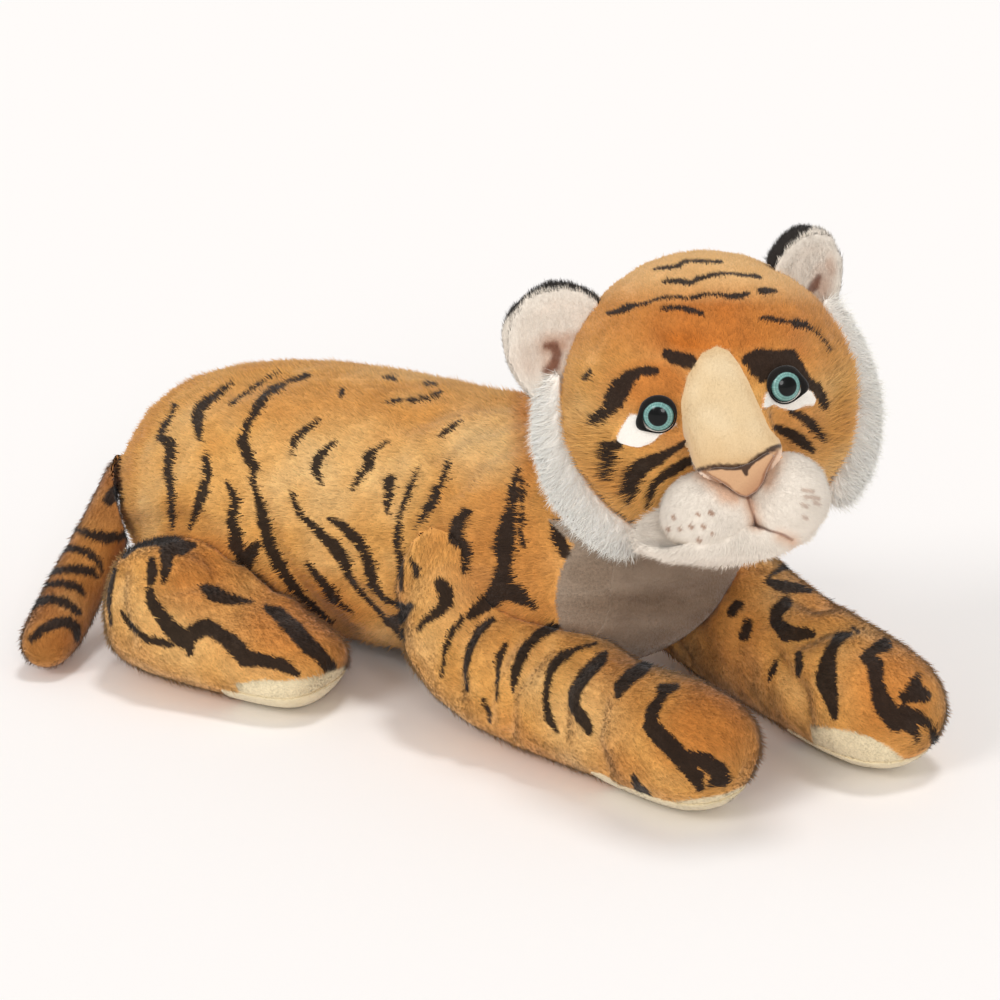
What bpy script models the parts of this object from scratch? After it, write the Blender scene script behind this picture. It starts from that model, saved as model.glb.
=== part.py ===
"""Plush tiger lying on its belly: sewn pile covers over stuffing, with a turning head.

Metres, +Z up. The nose end points to -Y, and the origin is on the floor under the belly.
Every cover is a shell with its stuffing inside. A smaller form is cut by the larger one
that it is sewn to, at each angle that its seam lets it swing to.
"""

import math

import bmesh
import bpy
from mathutils import Euler, Matrix, Vector

MM = 0.001

# Clearances and cloth
GAP = 0.3 * MM
SWING_CLEARANCE = 1.0 * MM
CUT_OVERRUN = 60 * MM
MERGE_DISTANCE = 0.01 * MM
CLEAN_DISTANCE = 0.002 * MM
PILE_WALL = 6 * MM
FELT_THICKNESS = 1.6 * MM
FLOOR_SINK = 0.5 * MM

# From the flat of the belly, the origin, to the front of the spine's straight
BODY_ASIDE = 27.3 * MM
BODY_BEHIND = 12.5 * MM

# Torso
TORSO_LENGTH = 518 * MM
TORSO_BEHIND = 160 * MM
TORSO_WIDTH = 222 * MM
TORSO_HEIGHT = 200 * MM
TORSO_BEND = 80 * MM

# Belly panel, the white cloth under the torso and up the chest
BELLY_PANEL_WIDTH = 128 * MM
BELLY_PANEL_RISE = 30 * MM
BIB_RISE = 190 * MM
BIB_DEPTH = 150 * MM
BELLY_PANEL_REAR = 55 * MM

# Front legs
SHOULDER_HEIGHT = 128 * MM
SHOULDER_IN = 19 * MM
SHOULDER_AHEAD = 211 * MM
FORELEG_REACH = 258 * MM
FORELEG_WIDTH = 88 * MM
FORELEG_HEIGHT = 94 * MM
LEFT_PAW_AHEAD = 38 * MM
LEFT_PAW_IN = 16 * MM
LEFT_ARM_FULLER = 18 * MM

# Hind legs
HEEL_ASIDE = 60 * MM
HEEL_BEHIND = 14 * MM
HIND_FOOT_LENGTH = 168 * MM
HIND_FOOT_WIDTH = 96 * MM
HIND_FOOT_HEIGHT = 106 * MM
TOE_IN_DEG = 18

# Sole pads
SOLE_RISE = 20 * MM
FRONT_SOLE_LENGTH = 105 * MM
HIND_SOLE_LENGTH = 70 * MM

# Tail
TAIL_THICKNESS = 52 * MM
TAIL_ROOT_HEIGHT = 112 * MM
TAIL_OUT = 180 * MM
TAIL_FORWARD = 112 * MM

# Head, in its own frame: face to -Y, up +Z
HEAD_WIDTH = 204 * MM
HEAD_HEIGHT = 204 * MM
HEAD_DEPTH = 180 * MM
HEAD_RISE = 60 * MM
HEAD_AHEAD = 14 * MM
HEAD_ASIDE = 8 * MM
HEAD_TURN_DEG = 38
HEAD_PITCH_DEG = 8
HEAD_TILT_DEG = 12
RUFF_THICKNESS = 42 * MM

# Neck
NECK_RADIUS = 34 * MM
NECK_LENGTH = 110 * MM
NECK_DROP = 70 * MM
NECK_BEHIND = 72 * MM

# Face
MUZZLE_WIDTH = 68 * MM
MUZZLE_HEIGHT = 66 * MM
MUZZLE_DEPTH = 64 * MM
MUZZLE_SPACING = 56 * MM
MUZZLE_PROUD = 14 * MM
MUZZLE_DROP = 54 * MM
CHIN_WIDTH = 96 * MM
CHIN_HEIGHT = 44 * MM
CHIN_DEPTH = 72 * MM
CHIN_RISE = 18 * MM
BRIDGE_WIDTH = 62 * MM
BRIDGE_THICKNESS = 34 * MM
BRIDGE_HEIGHT = 114 * MM
BRIDGE_SINK = 6 * MM
NOSE_WIDTH = 50 * MM
NOSE_HEIGHT = 30 * MM
NOSE_DEPTH = 20 * MM
NOSE_PROUD = 44 * MM
NOSE_DROP = 36 * MM

# Eyes
EYE_RADIUS = 12.5 * MM
EYE_DOME_HEIGHT = 6.5 * MM
EYE_DISC_THICKNESS = 2.5 * MM
EYE_SPACING = 83 * MM
EYE_LIFT = 13 * MM
EYE_PROUD = 3 * MM
EYE_SPLAY_DEG = 14
SHANK_RADIUS = 2.6 * MM
SHANK_LENGTH = 19 * MM
WASHER_RADIUS = 10 * MM
WASHER_THICKNESS = 2.4 * MM
LID_WIDTH = 3.2 * MM
LID_RISE = 4.6 * MM
EYE_WHITE_WIDTH = 46 * MM
EYE_WHITE_HEIGHT = 34 * MM
EYE_WHITE_DROP = 9 * MM

# Ears, each in its own frame: open side to -Y, up +Z
EAR_WIDTH = 72 * MM
EAR_HEIGHT = 76 * MM
EAR_THICKNESS = 26 * MM
EAR_IN = 30 * MM
EAR_LIFT = 24 * MM
EAR_BEHIND = 12 * MM
EAR_LEAN_DEG = 24
EAR_DISH_RADIUS = 62 * MM
EAR_DISH_DEPTH = 9 * MM
EAR_LINING = 4 * MM
RIGHT_EAR_TURN_DEG = 8
LEFT_EAR_TURN_DEG = 42

# Swing of each seam, in degrees
HEAD_SWING_DEG = 12
LEG_SWING_DEG = 15
TAIL_SWING_DEG = 15
EAR_FOLD_DEG = 20

# Detail of the forms
BODY_SIDES = 12
LIMB_SIDES = 8
FORM_LEVELS = 1
TURN_STEPS = 16
DOME_STEPS = 5
SHARP_DEG = 50
NECK_STEPS = 24
SWING_SHARES = (-1, -0.35, 0.35, 1)
SPREAD_SHARES = (0, 0.5, 1)

# Torso, rump to chest: shares of length, bend, middle height, width, height
TORSO_SHARES = (
    (0.00, 0.98, 0.52, 0.44, 0.48),
    (0.06, 0.92, 0.49, 0.84, 0.80),
    (0.20, 0.62, 0.48, 1.24, 1.00),
    (0.38, 0.20, 0.49, 1.16, 1.02),
    (0.58, 0.00, 0.51, 0.96, 1.00),
    (0.76, 0.00, 0.59, 1.02, 1.00),
    (0.91, 0.00, 0.70, 0.90, 0.90),
    (1.00, 0.00, 0.66, 0.60, 0.60),
)

# Front leg, shoulder to toes: shares of out, reach, height, width, height
FORELEG_SHARES = (
    (0.92, -0.04, 1.22, 0.62, 0.60),
    (1.02, -0.03, 0.90, 1.02, 1.10),
    (1.08, 0.02, 0.55, 1.06, 1.14),
    (1.04, 0.20, 0.40, 1.04, 1.06),
    (0.94, 0.46, 0.36, 0.94, 0.96),
    (0.87, 0.72, 0.36, 1.08, 0.97),
    (0.84, 0.92, 0.35, 1.18, 0.97),
    (0.82, 1.04, 0.31, 0.70, 0.60),
)

# Hind foot, heel to toes: shares of length, sideways, height, width, height
HIND_SHARES = (
    (-0.14, 0.00, 0.50, 0.56, 0.60),
    (-0.03, -0.06, 0.49, 1.04, 0.94),
    (0.20, -0.16, 0.48, 1.38, 1.00),
    (0.48, -0.18, 0.44, 1.30, 0.92),
    (0.76, -0.08, 0.40, 1.06, 0.84),
    (0.94, -0.06, 0.36, 0.94, 0.74),
    (1.02, -0.06, 0.32, 0.56, 0.44),
)

# Tail, root to tip: shares of out, forward, height, thickness
TAIL_SHARES = (
    (0.10, 0.14, 0.92, 0.90),
    (0.30, 0.30, 0.96, 0.92),
    (0.44, 0.48, 0.84, 0.94),
    (0.59, 0.57, 0.62, 0.98),
    (0.76, 0.67, 0.39, 1.06),
    (0.92, 0.84, 0.25, 1.06),
    (1.05, 0.98, 0.22, 0.96),
    (1.10, 1.05, 0.21, 0.60),
)

# Skull, back to face: shares of depth, height, width, height
HEAD_SHARES = (
    (-0.50, 0.00, 0.42, 0.42),
    (-0.38, 0.02, 0.78, 0.78),
    (-0.12, 0.02, 0.99, 0.99),
    (0.14, -0.01, 0.99, 0.97),
    (0.36, -0.05, 0.84, 0.83),
    (0.47, -0.08, 0.58, 0.56),
    (0.50, -0.09, 0.32, 0.30),
)

# Ruff, below the ear to the jaw: shares of half width, depth, half height, thickness
RUFF_SHARES = (
    (0.86, 0.08, 0.52, 0.44),
    (0.96, 0.07, 0.34, 0.74),
    (1.03, 0.06, 0.14, 0.90),
    (1.07, 0.03, -0.10, 1.00),
    (1.04, 0.00, -0.38, 1.06),
    (0.86, -0.05, -0.66, 1.04),
    (0.58, -0.12, -0.84, 0.76),
)

# Nose bridge, brow to nose: shares of height down, thickness ahead, width, thickness
BRIDGE_SHARES = (
    (-0.06, -0.62, 0.36, 0.52),
    (0.10, -0.30, 0.58, 0.76),
    (0.34, -0.04, 0.80, 0.92),
    (0.60, 0.26, 0.94, 1.00),
    (0.78, 0.66, 1.00, 1.00),
    (0.92, 1.14, 1.02, 0.86),
    (1.00, 1.40, 0.80, 0.50),
)

# Ear, base to rim: shares of height, width, thickness
EAR_SHARES = (
    (-0.18, 0.56, 0.70),
    (0.06, 0.80, 0.94),
    (0.36, 1.00, 1.00),
    (0.66, 0.96, 0.86),
    (0.88, 0.70, 0.66),
    (1.00, 0.36, 0.40),
)

# Linear colours and roughness
GOLDEN_PILE = ((0.62, 0.34, 0.13), 0.95)
TAIL_PILE = ((0.42, 0.20, 0.07), 0.95)
WHITE_PILE = ((0.80, 0.76, 0.70), 0.95)
BIB_PILE = ((0.55, 0.49, 0.43), 0.95)
SOLE_PILE = ((0.74, 0.60, 0.38), 0.9)
BRIDGE_PILE = ((0.76, 0.58, 0.34), 0.95)
NOSE_CLOTH = ((0.72, 0.42, 0.30), 0.9)
BLACK_FELT = ((0.02, 0.02, 0.02), 0.9)
FIBRE = ((0.82, 0.81, 0.78), 1.0)
EYE_PLASTIC = ((0.08, 0.32, 0.32), 0.25)
CLEAR_PLASTIC = ((0.85, 0.90, 0.90), 0.05)
WASHER_PLASTIC = ((0.75, 0.75, 0.72), 0.5)


def clear_scene():
    """Remove what the startup file holds."""
    for old in list(bpy.data.objects):
        bpy.data.objects.remove(old, do_unlink=True)


def collection_named(name):
    """A new collection of that name in the scene."""
    made = bpy.data.collections.new(name)
    bpy.context.scene.collection.children.link(made)
    return made


def cutter(name, mesh):
    """A hidden wire object that holds a mesh in world space."""
    made = bpy.data.objects.new(name, mesh)
    CUTTERS.objects.link(made)
    made.hide_render = True
    made.display_type = "WIRE"
    return made


def settle(made):
    """Bake an object's modifiers into its mesh."""
    bpy.context.view_layer.update()
    graph = bpy.context.evaluated_depsgraph_get()
    mesh = bpy.data.meshes.new_from_object(made.evaluated_get(graph))
    made.modifiers.clear()
    made.data = mesh
    return made


def copy_of(source, name, turn=None):
    """A cutter with the source's mesh, turned by a matrix if one is given."""
    mesh = source.data.copy()
    if turn is not None:
        mesh.transform(turn)
    return cutter(name, mesh)


def form_cage(name, stations, grow, sides, across):
    """The cage of a soft form through stations of centre, half width and half height."""
    cage = bmesh.new()
    # A ring shrinks by this factor as it is subdivided
    ring_factor = 3 / (2 + math.cos(2 * math.pi / sides))
    centres = [Vector(station[0]) for station in stations]
    last = len(stations) - 1
    rings = []
    for index, (_, half_width, half_height) in enumerate(stations):
        ahead = (centres[min(index + 1, last)] - centres[max(index - 1, 0)]).normalized()
        side = (across - ahead * across.dot(ahead)).normalized()
        rise = side.cross(ahead)
        end = (index == last) - (index == 0)
        middle = centres[index] + ahead * grow * end
        ring = []
        for step in range(sides):
            angle = 2 * math.pi * step / sides
            out = side * math.cos(angle) * (half_width + grow)
            up = rise * math.sin(angle) * (half_height + grow)
            ring.append(cage.verts.new(middle + (out + up) * ring_factor))
        rings.append(ring)
    for first, second in zip(rings, rings[1:]):
        for step in range(sides):
            after = (step + 1) % sides
            cage.faces.new((first[step], first[after], second[after], second[step]))
    cage.faces.new(rings[0])
    cage.faces.new(rings[-1])
    bmesh.ops.recalc_face_normals(cage, faces=cage.faces)
    mesh = bpy.data.meshes.new(name)
    cage.to_mesh(mesh)
    cage.free()
    return mesh


def soft_form(name, stations, frame, grow=0.0, sides=LIMB_SIDES, across=(1, 0, 0)):
    """A stuffed form in world space: a coarse cage under Subdivision Surface."""
    made = cutter(name, form_cage(name, stations, grow, sides, Vector(across)))
    smooth = made.modifiers.new("smooth", "SUBSURF")
    smooth.levels = FORM_LEVELS
    smooth.render_levels = FORM_LEVELS
    settle(made)
    # The same diagonals in every copy of a form keep an even gap between them
    split = bmesh.new()
    split.from_mesh(made.data)
    bmesh.ops.triangulate(split, faces=split.faces, quad_method="FIXED")
    split.to_mesh(made.data)
    split.free()
    made.data.transform(frame)
    return made


def ball(name, frame, centre, radii, levels=3):
    """An ellipsoid, given in a frame."""
    shape = bmesh.new()
    place = frame @ Matrix.Translation(centre) @ Matrix.Diagonal((*radii, 1))
    bmesh.ops.create_icosphere(shape, subdivisions=levels, radius=1, matrix=place)
    mesh = bpy.data.meshes.new(name)
    shape.to_mesh(mesh)
    shape.free()
    return cutter(name, mesh)


def block(name, frame, low, high):
    """A box between two corners of a frame."""
    shape = bmesh.new()
    low = Vector(low)
    high = Vector(high)
    place = frame @ Matrix.Translation((low + high) / 2) @ Matrix.Diagonal((*(high - low), 1))
    bmesh.ops.create_cube(shape, size=1, matrix=place)
    mesh = bpy.data.meshes.new(name)
    shape.to_mesh(mesh)
    shape.free()
    return cutter(name, mesh)


def turned(name, frame, profile, steps=TURN_STEPS):
    """A solid of revolution about a frame's Z from (radius, height) points, top to bottom."""
    line = bmesh.new()
    points = [line.verts.new((radius, 0, height)) for radius, height in profile]
    for first, second in zip(points, points[1:]):
        line.edges.new((first, second))
    mesh = bpy.data.meshes.new(name)
    line.to_mesh(mesh)
    line.free()
    made = cutter(name, mesh)
    screw = made.modifiers.new("turn", "SCREW")
    screw.steps = steps
    screw.render_steps = steps
    screw.use_merge_vertices = True
    screw.merge_threshold = MERGE_DISTANCE
    screw.use_normal_calculate = True
    settle(made)
    closed = bmesh.new()
    closed.from_mesh(made.data)
    bmesh.ops.remove_doubles(closed, verts=closed.verts, dist=MERGE_DISTANCE)
    bmesh.ops.recalc_face_normals(closed, faces=closed.faces)
    closed.to_mesh(made.data)
    closed.free()
    made.data.transform(frame)
    return made


def carve(target, tool, operation="DIFFERENCE"):
    """Cut a piece by a tool, keep what they share, or join them."""
    cut = target.modifiers.new("cut", "BOOLEAN")
    cut.object = tool
    cut.operation = operation
    cut.solver = "EXACT"
    return settle(target)


def clean(piece):
    """Merge the slivers that the cuts leave along their edges."""
    shape = bmesh.new()
    shape.from_mesh(piece.data)
    bmesh.ops.dissolve_degenerate(shape, dist=CLEAN_DISTANCE, edges=shape.edges)
    bmesh.ops.remove_doubles(shape, verts=shape.verts, dist=CLEAN_DISTANCE)
    shape.to_mesh(piece.data)
    shape.free()


def keep_largest(target):
    """Drop the scraps that a cut leaves beside a piece."""
    shape = bmesh.new()
    shape.from_mesh(target.data)
    waiting = set(shape.verts)
    islands = []
    while waiting:
        island = [waiting.pop()]
        for vert in island:
            for edge in vert.link_edges:
                other = edge.other_vert(vert)
                if other in waiting:
                    waiting.remove(other)
                    island.append(other)
        islands.append(island)
    islands.sort(key=len)
    for scrap in islands[:-1]:
        bmesh.ops.delete(shape, geom=scrap, context="VERTS")
    shape.to_mesh(target.data)
    shape.free()
    return target


def turn_about(pivot, degrees):
    """A turn about an empty's Z axis."""
    place = pivot.matrix_world
    return place @ Matrix.Rotation(math.radians(degrees), 4, "Z") @ place.inverted()


def carve_swung(targets, tool, pivot, angles):
    """Cut pieces that swing on a pivot by what they swing past."""
    swept = copy_of(tool, tool.name + "_swept", turn_about(pivot, -angles[0]))
    for degrees in angles[1:]:
        passed = copy_of(tool, tool.name + "_passed", turn_about(pivot, -degrees))
        carve(swept, passed, "UNION")
    for target in targets:
        carve(target, swept)
        keep_largest(target)


def settled_frame(stations, frame, sides, across=(1, 0, 0)):
    """A frame moved up or down until the form's underside is just cut by the floor."""
    trial = soft_form("trial", stations, frame, 0.0, sides, across)
    lowest = min(vert.co.z for vert in trial.data.vertices)
    return Matrix.Translation((0, 0, -FLOOR_SINK - lowest)) @ frame


def stuffed(name, stations, frame, sides, across=(1, 0, 0)):
    """A cover and the stuffing that fills it."""
    core_sides = sides - sides // 4
    inside = -PILE_WALL - GAP
    hollow = soft_form(name + "_hollow", stations, frame, -PILE_WALL, core_sides, across)
    core = soft_form(name + "_stuffing", stations, frame, inside, core_sides, across)
    cover = soft_form(name + "_cover", stations, frame, 0.0, sides, across)
    carve(cover, hollow)
    return cover, core


def split_off(name, cover, region, region_grown):
    """Take the part of a cover inside a region as a panel of its own."""
    panel = copy_of(cover, name)
    carve(panel, region, "INTERSECT")
    carve(cover, region_grown)
    return panel


def pivot_at(name, place, axis=(0, 0, 1)):
    """An empty on a joint's axis, with its Z along the axis."""
    made = bpy.data.objects.new(name, None)
    CUTTERS.objects.link(made)
    made.location = place
    made.rotation_euler = Vector(axis).to_track_quat("Z", "Y").to_euler()
    bpy.context.view_layer.update()
    return made


def finish(name, piece, look, pivot=None):
    """Show a piece under its name, with its material, riding on its pivot."""
    clean(piece)
    colour, roughness = look
    piece.name = name
    piece.data.name = name
    for group in list(piece.users_collection):
        group.objects.unlink(piece)
    TIGER.objects.link(piece)
    piece.hide_render = False
    piece.display_type = "TEXTURED"
    paint = bpy.data.materials.new(name)
    paint.use_nodes = True
    shader = paint.node_tree.nodes["Principled BSDF"]
    shader.inputs["Base Color"].default_value = (*colour, 1)
    shader.inputs["Roughness"].default_value = roughness
    piece.data.materials.clear()
    piece.data.materials.append(paint)
    piece.data.shade_smooth()
    piece.data.set_sharp_from_angle(angle=math.radians(SHARP_DEG))
    if pivot is not None:
        piece.data.transform(pivot.matrix_world.inverted())
        piece.parent = pivot


def torso_stations():
    """The torso from rump to chest, bent to the tiger's right at the rump."""
    stations = []
    for along, aside, middle, width, height in TORSO_SHARES:
        centre = (-aside * TORSO_BEND, TORSO_BEHIND - along * TORSO_LENGTH, middle * TORSO_HEIGHT)
        stations.append((centre, width * TORSO_WIDTH / 2, height * TORSO_HEIGHT / 2))
    return stations


def foreleg_stations(side):
    """A front leg: shoulder, elbow on the floor, forearm and paw. The left reaches further."""
    further = LEFT_PAW_AHEAD if side > 0 else 0
    nearer = LEFT_PAW_IN if side > 0 else 0
    stations = []
    for out, ahead, lift, width, height in FORELEG_SHARES:
        reach = min(max(ahead, 0), 1)
        fuller = LEFT_ARM_FULLER * (1 - reach) if side > 0 else 0
        centre = (
            side * (out * SHOULDER_OUT - reach * nearer + fuller),
            -SHOULDER_AHEAD - ahead * FORELEG_REACH - reach * further,
            lift * SHOULDER_HEIGHT + fuller / 2,
        )
        half_width = width * FORELEG_WIDTH / 2 + fuller
        half_height = height * FORELEG_HEIGHT / 2 + fuller / 3
        stations.append((centre, half_width, half_height))
    return stations


def hind_frame(side):
    """A frame on the floor at a heel, with -Y towards the toes and +X away from the body."""
    aside = TORSO_BEND / 2 if side < 0 else 0
    heel = BODY_FRAME @ Matrix.Translation((side * HEEL_OUT - aside, HEEL_BEHIND, 0))
    return heel @ Matrix.Rotation(-side * math.radians(TOE_IN_DEG), 4, "Z")


def hind_stations(side):
    """A hind foot from its heel along the floor to its toes, in its own frame."""
    stations = []
    for along, aside, lift, width, height in HIND_SHARES:
        centre = (
            side * aside * HIND_FOOT_WIDTH,
            -along * HIND_FOOT_LENGTH,
            lift * HIND_FOOT_HEIGHT,
        )
        stations.append((centre, width * HIND_FOOT_WIDTH / 2, height * HIND_FOOT_HEIGHT / 2))
    return stations


def tail_stations():
    """The tail, from the rump down and forward along the floor at the tiger's right."""
    root = Vector((-TORSO_BEND, TORSO_BEHIND, 0))
    stations = []
    for out, forward, lift, thick in TAIL_SHARES:
        centre = root + Vector((-out * TAIL_OUT, -forward * TAIL_FORWARD, lift * TAIL_ROOT_HEIGHT))
        stations.append((centre, thick * TAIL_THICKNESS / 2, thick * TAIL_THICKNESS / 2))
    return stations


def head_stations():
    """The skull from back to face, in the head's frame."""
    stations = []
    for along, lift, width, height in HEAD_SHARES:
        centre = (0, -along * HEAD_DEPTH, lift * HEAD_HEIGHT)
        stations.append((centre, width * HEAD_WIDTH / 2, height * HEAD_HEIGHT / 2))
    return stations


def ruff_stations(side):
    """The long pile round one cheek, from below the ear to the jaw."""
    stations = []
    for out, back, lift, thick in RUFF_SHARES:
        centre = (side * out * HEAD_WIDTH / 2, back * HEAD_DEPTH, lift * HEAD_HEIGHT / 2)
        stations.append((centre, thick * RUFF_THICKNESS / 2, thick * RUFF_THICKNESS / 2))
    return stations


def bridge_stations():
    """The nose bridge from the brow down to the nose, in the head's frame."""
    top = BRIDGE_HEIGHT - NOSE_DROP
    stations = []
    for down, ahead, width, thick in BRIDGE_SHARES:
        forward = HEAD_DEPTH / 2 - BRIDGE_SINK + ahead * BRIDGE_THICKNESS
        centre = (0, -forward, top - down * BRIDGE_HEIGHT)
        stations.append((centre, width * BRIDGE_WIDTH / 2, thick * BRIDGE_THICKNESS / 2))
    return stations


def ear_stations():
    """An ear from its base to its rim, in its own frame."""
    stations = []
    for lift, width, thick in EAR_SHARES:
        stations.append(
            ((0, 0, lift * EAR_HEIGHT), width * EAR_WIDTH / 2, thick * EAR_THICKNESS / 2)
        )
    return stations


def belly_region(name, grow):
    """The space of the white belly panel and bib, grown by a clearance."""
    half = BELLY_PANEL_WIDTH / 2 + grow
    front = TORSO_BEHIND - TORSO_LENGTH
    rear = BELLY_PANEL_REAR + grow
    top = BIB_RISE + grow
    region = block(name, BODY_FRAME, (-half, front - CUT_OVERRUN, -CUT_OVERRUN), (half, rear, top))
    flank = block(
        name + "_above",
        BODY_FRAME,
        (-half - CUT_OVERRUN, front + BIB_DEPTH + grow, BELLY_PANEL_RISE + grow),
        (half + CUT_OVERRUN, rear + CUT_OVERRUN, top + CUT_OVERRUN),
    )
    return carve(region, flank)


def neck_form(name, grow):
    """The round neck, upright on the axis that the head turns on."""
    half = NECK_LENGTH / 2 + grow
    radius = NECK_RADIUS + grow
    return turned(
        name,
        BODY_FRAME @ Matrix.Translation(NECK_CENTRE),
        ((0, half), (radius, half), (radius, -half), (0, -half)),
        NECK_STEPS,
    )


def eye_frame(side):
    """A frame on the face at one eye, with Z along the way that it looks."""
    place = Matrix.Translation((side * EYE_SPACING / 2, -HEAD_DEPTH / 2 - EYE_PROUD, EYE_LIFT))
    look = Matrix.Rotation(side * math.radians(EYE_SPLAY_DEG), 4, "Z")
    return HEAD_FRAME @ place @ look @ Matrix.Rotation(math.radians(90), 4, "X")


def disc_profile():
    """The painted disc and its shank, from the disc's face down."""
    return (
        (0, EYE_DISC_THICKNESS),
        (EYE_RADIUS, EYE_DISC_THICKNESS),
        (EYE_RADIUS, 0),
        (SHANK_RADIUS, 0),
        (SHANK_RADIUS, -SHANK_LENGTH),
        (0, -SHANK_LENGTH),
    )


def pocket_profile():
    """The room that an eye takes in the head: seat, shank hole and washer."""
    top = -PILE_WALL - WASHER_THICKNESS / 2 + GAP
    bottom = top - WASHER_THICKNESS - 2 * GAP
    return (
        (0, CUT_OVERRUN),
        (EYE_RADIUS + GAP, CUT_OVERRUN),
        (EYE_RADIUS + GAP, -GAP),
        (SHANK_RADIUS + GAP, -GAP),
        (SHANK_RADIUS + GAP, top),
        (WASHER_RADIUS + GAP, top),
        (WASHER_RADIUS + GAP, bottom),
        (SHANK_RADIUS + GAP, bottom),
        (SHANK_RADIUS + GAP, -SHANK_LENGTH - GAP),
        (0, -SHANK_LENGTH - GAP),
    )


def patch_stretch():
    """Stretch a unit cylinder to the white patch's outline, below and around the eye."""
    move = Matrix.Translation((0, -EYE_WHITE_DROP, 0))
    size = (EYE_WHITE_WIDTH / 2, EYE_WHITE_HEIGHT / 2, EYE_WHITE_WIDTH)
    return move @ Matrix.Diagonal((*size, 1))


def patch_profile(unit):
    """A unit cylinder's profile."""
    return ((0, unit), (unit, unit), (unit, -unit), (0, -unit))


def ear_frame(side):
    """A frame at one ear's base, leaning out from the crown and turned outward."""
    place = Matrix.Translation((side * (HEAD_WIDTH / 2 - EAR_IN), EAR_BEHIND, EAR_LIFT))
    lean = Matrix.Rotation(side * math.radians(EAR_LEAN_DEG), 4, "Y")
    outward = LEFT_EAR_TURN_DEG if side > 0 else RIGHT_EAR_TURN_DEG
    return HEAD_FRAME @ place @ lean @ Matrix.Rotation(side * math.radians(outward), 4, "Z")


def sole_region(frame, length, reach, grow):
    """The space of a sole pad: from the floor up, and back from the toes."""
    return block(
        "sole_region",
        frame,
        (-TORSO_WIDTH, -reach - CUT_OVERRUN, -CUT_OVERRUN),
        (TORSO_WIDTH, -reach + length + grow, SOLE_RISE + grow),
    )


clear_scene()
TIGER = collection_named("plush_tiger")
CUTTERS = collection_named("cutters")

BODY_FRAME = Matrix.Translation((BODY_ASIDE, BODY_BEHIND, 0))
CHEST_AHEAD = TORSO_LENGTH - TORSO_BEHIND
SHOULDER_OUT = TORSO_WIDTH / 2 - SHOULDER_IN
HEEL_OUT = TORSO_WIDTH / 2 + HEEL_ASIDE
HEAD_CENTRE = Vector((-HEAD_ASIDE, -CHEST_AHEAD - HEAD_AHEAD, TORSO_HEIGHT + HEAD_RISE))
NECK_CENTRE = HEAD_CENTRE + Vector((0, NECK_BEHIND, -NECK_DROP))
HEAD_FRAME = (
    BODY_FRAME
    @ Matrix.Translation(HEAD_CENTRE)
    @ Euler((0, 0, math.radians(-HEAD_TURN_DEG))).to_matrix().to_4x4()
    @ Euler((math.radians(-HEAD_PITCH_DEG), 0, 0)).to_matrix().to_4x4()
    @ Euler((0, math.radians(-HEAD_TILT_DEG), 0)).to_matrix().to_4x4()
)

wide = TORSO_LENGTH + FORELEG_REACH
floor = block("floor", BODY_FRAME, (-wide, -wide, -CUT_OVERRUN), (wide, wide, 0))

# Torso and neck
torso_frame = settled_frame(torso_stations(), BODY_FRAME, BODY_SIDES)
torso_cover, torso_stuffing = stuffed("torso", torso_stations(), torso_frame, BODY_SIDES)
torso_near = soft_form(
    "torso_near", torso_stations(), torso_frame, SWING_CLEARANCE, BODY_SIDES
)
neck = neck_form("neck", 0.0)
neck_socket = neck_form("neck_socket", GAP)
carve(torso_cover, neck_socket)
carve(torso_stuffing, neck_socket)
keep_largest(torso_cover)
carve(torso_cover, floor)
belly_panel = split_off(
    "belly_panel", torso_cover, belly_region("belly", 0.0), belly_region("belly_near", GAP)
)
keep_largest(torso_cover)
keep_largest(belly_panel)
finish("torso_cover", torso_cover, GOLDEN_PILE)
finish("torso_stuffing", torso_stuffing, FIBRE)
finish("belly_panel", belly_panel, BIB_PILE)
finish("neck_stuffing", neck, FIBRE)

# Front and hind legs
foot_outsides = {}
for side, hand in ((-1, "right"), (1, "left")):
    spread = [side * share * LEG_SWING_DEG for share in SPREAD_SHARES]
    shoulder = BODY_FRAME @ Vector((side * SHOULDER_OUT, -SHOULDER_AHEAD, 0))
    heel = hind_frame(side)
    legs = (
        ("front_leg_" + hand, foreleg_stations(side), BODY_FRAME, shoulder, FRONT_SOLE_LENGTH),
        ("hind_leg_" + hand, hind_stations(side), heel, heel.translation, HIND_SOLE_LENGTH),
    )
    for name, stations, frame, place, length in legs:
        frame = settled_frame(stations, frame, LIMB_SIDES)
        cover, core = stuffed(name, stations, frame, LIMB_SIDES)
        pivot = pivot_at(name + "_pivot", place)
        carve_swung((cover, core), torso_near, pivot, spread)
        carve(cover, floor)
        toe = -stations[-1][0][1]
        sole = split_off(
            name + "_sole",
            cover,
            sole_region(frame, length, toe, 0.0),
            sole_region(frame, length, toe, GAP),
        )
        keep_largest(cover)
        keep_largest(sole)
        foot_outsides[name] = soft_form(name + "_near", stations, frame, SWING_CLEARANCE)
        finish(name + "_cover", cover, GOLDEN_PILE, pivot)
        finish(name + "_stuffing", core, FIBRE, pivot)
        finish(name + "_sole", sole, SOLE_PILE, pivot)

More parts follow.
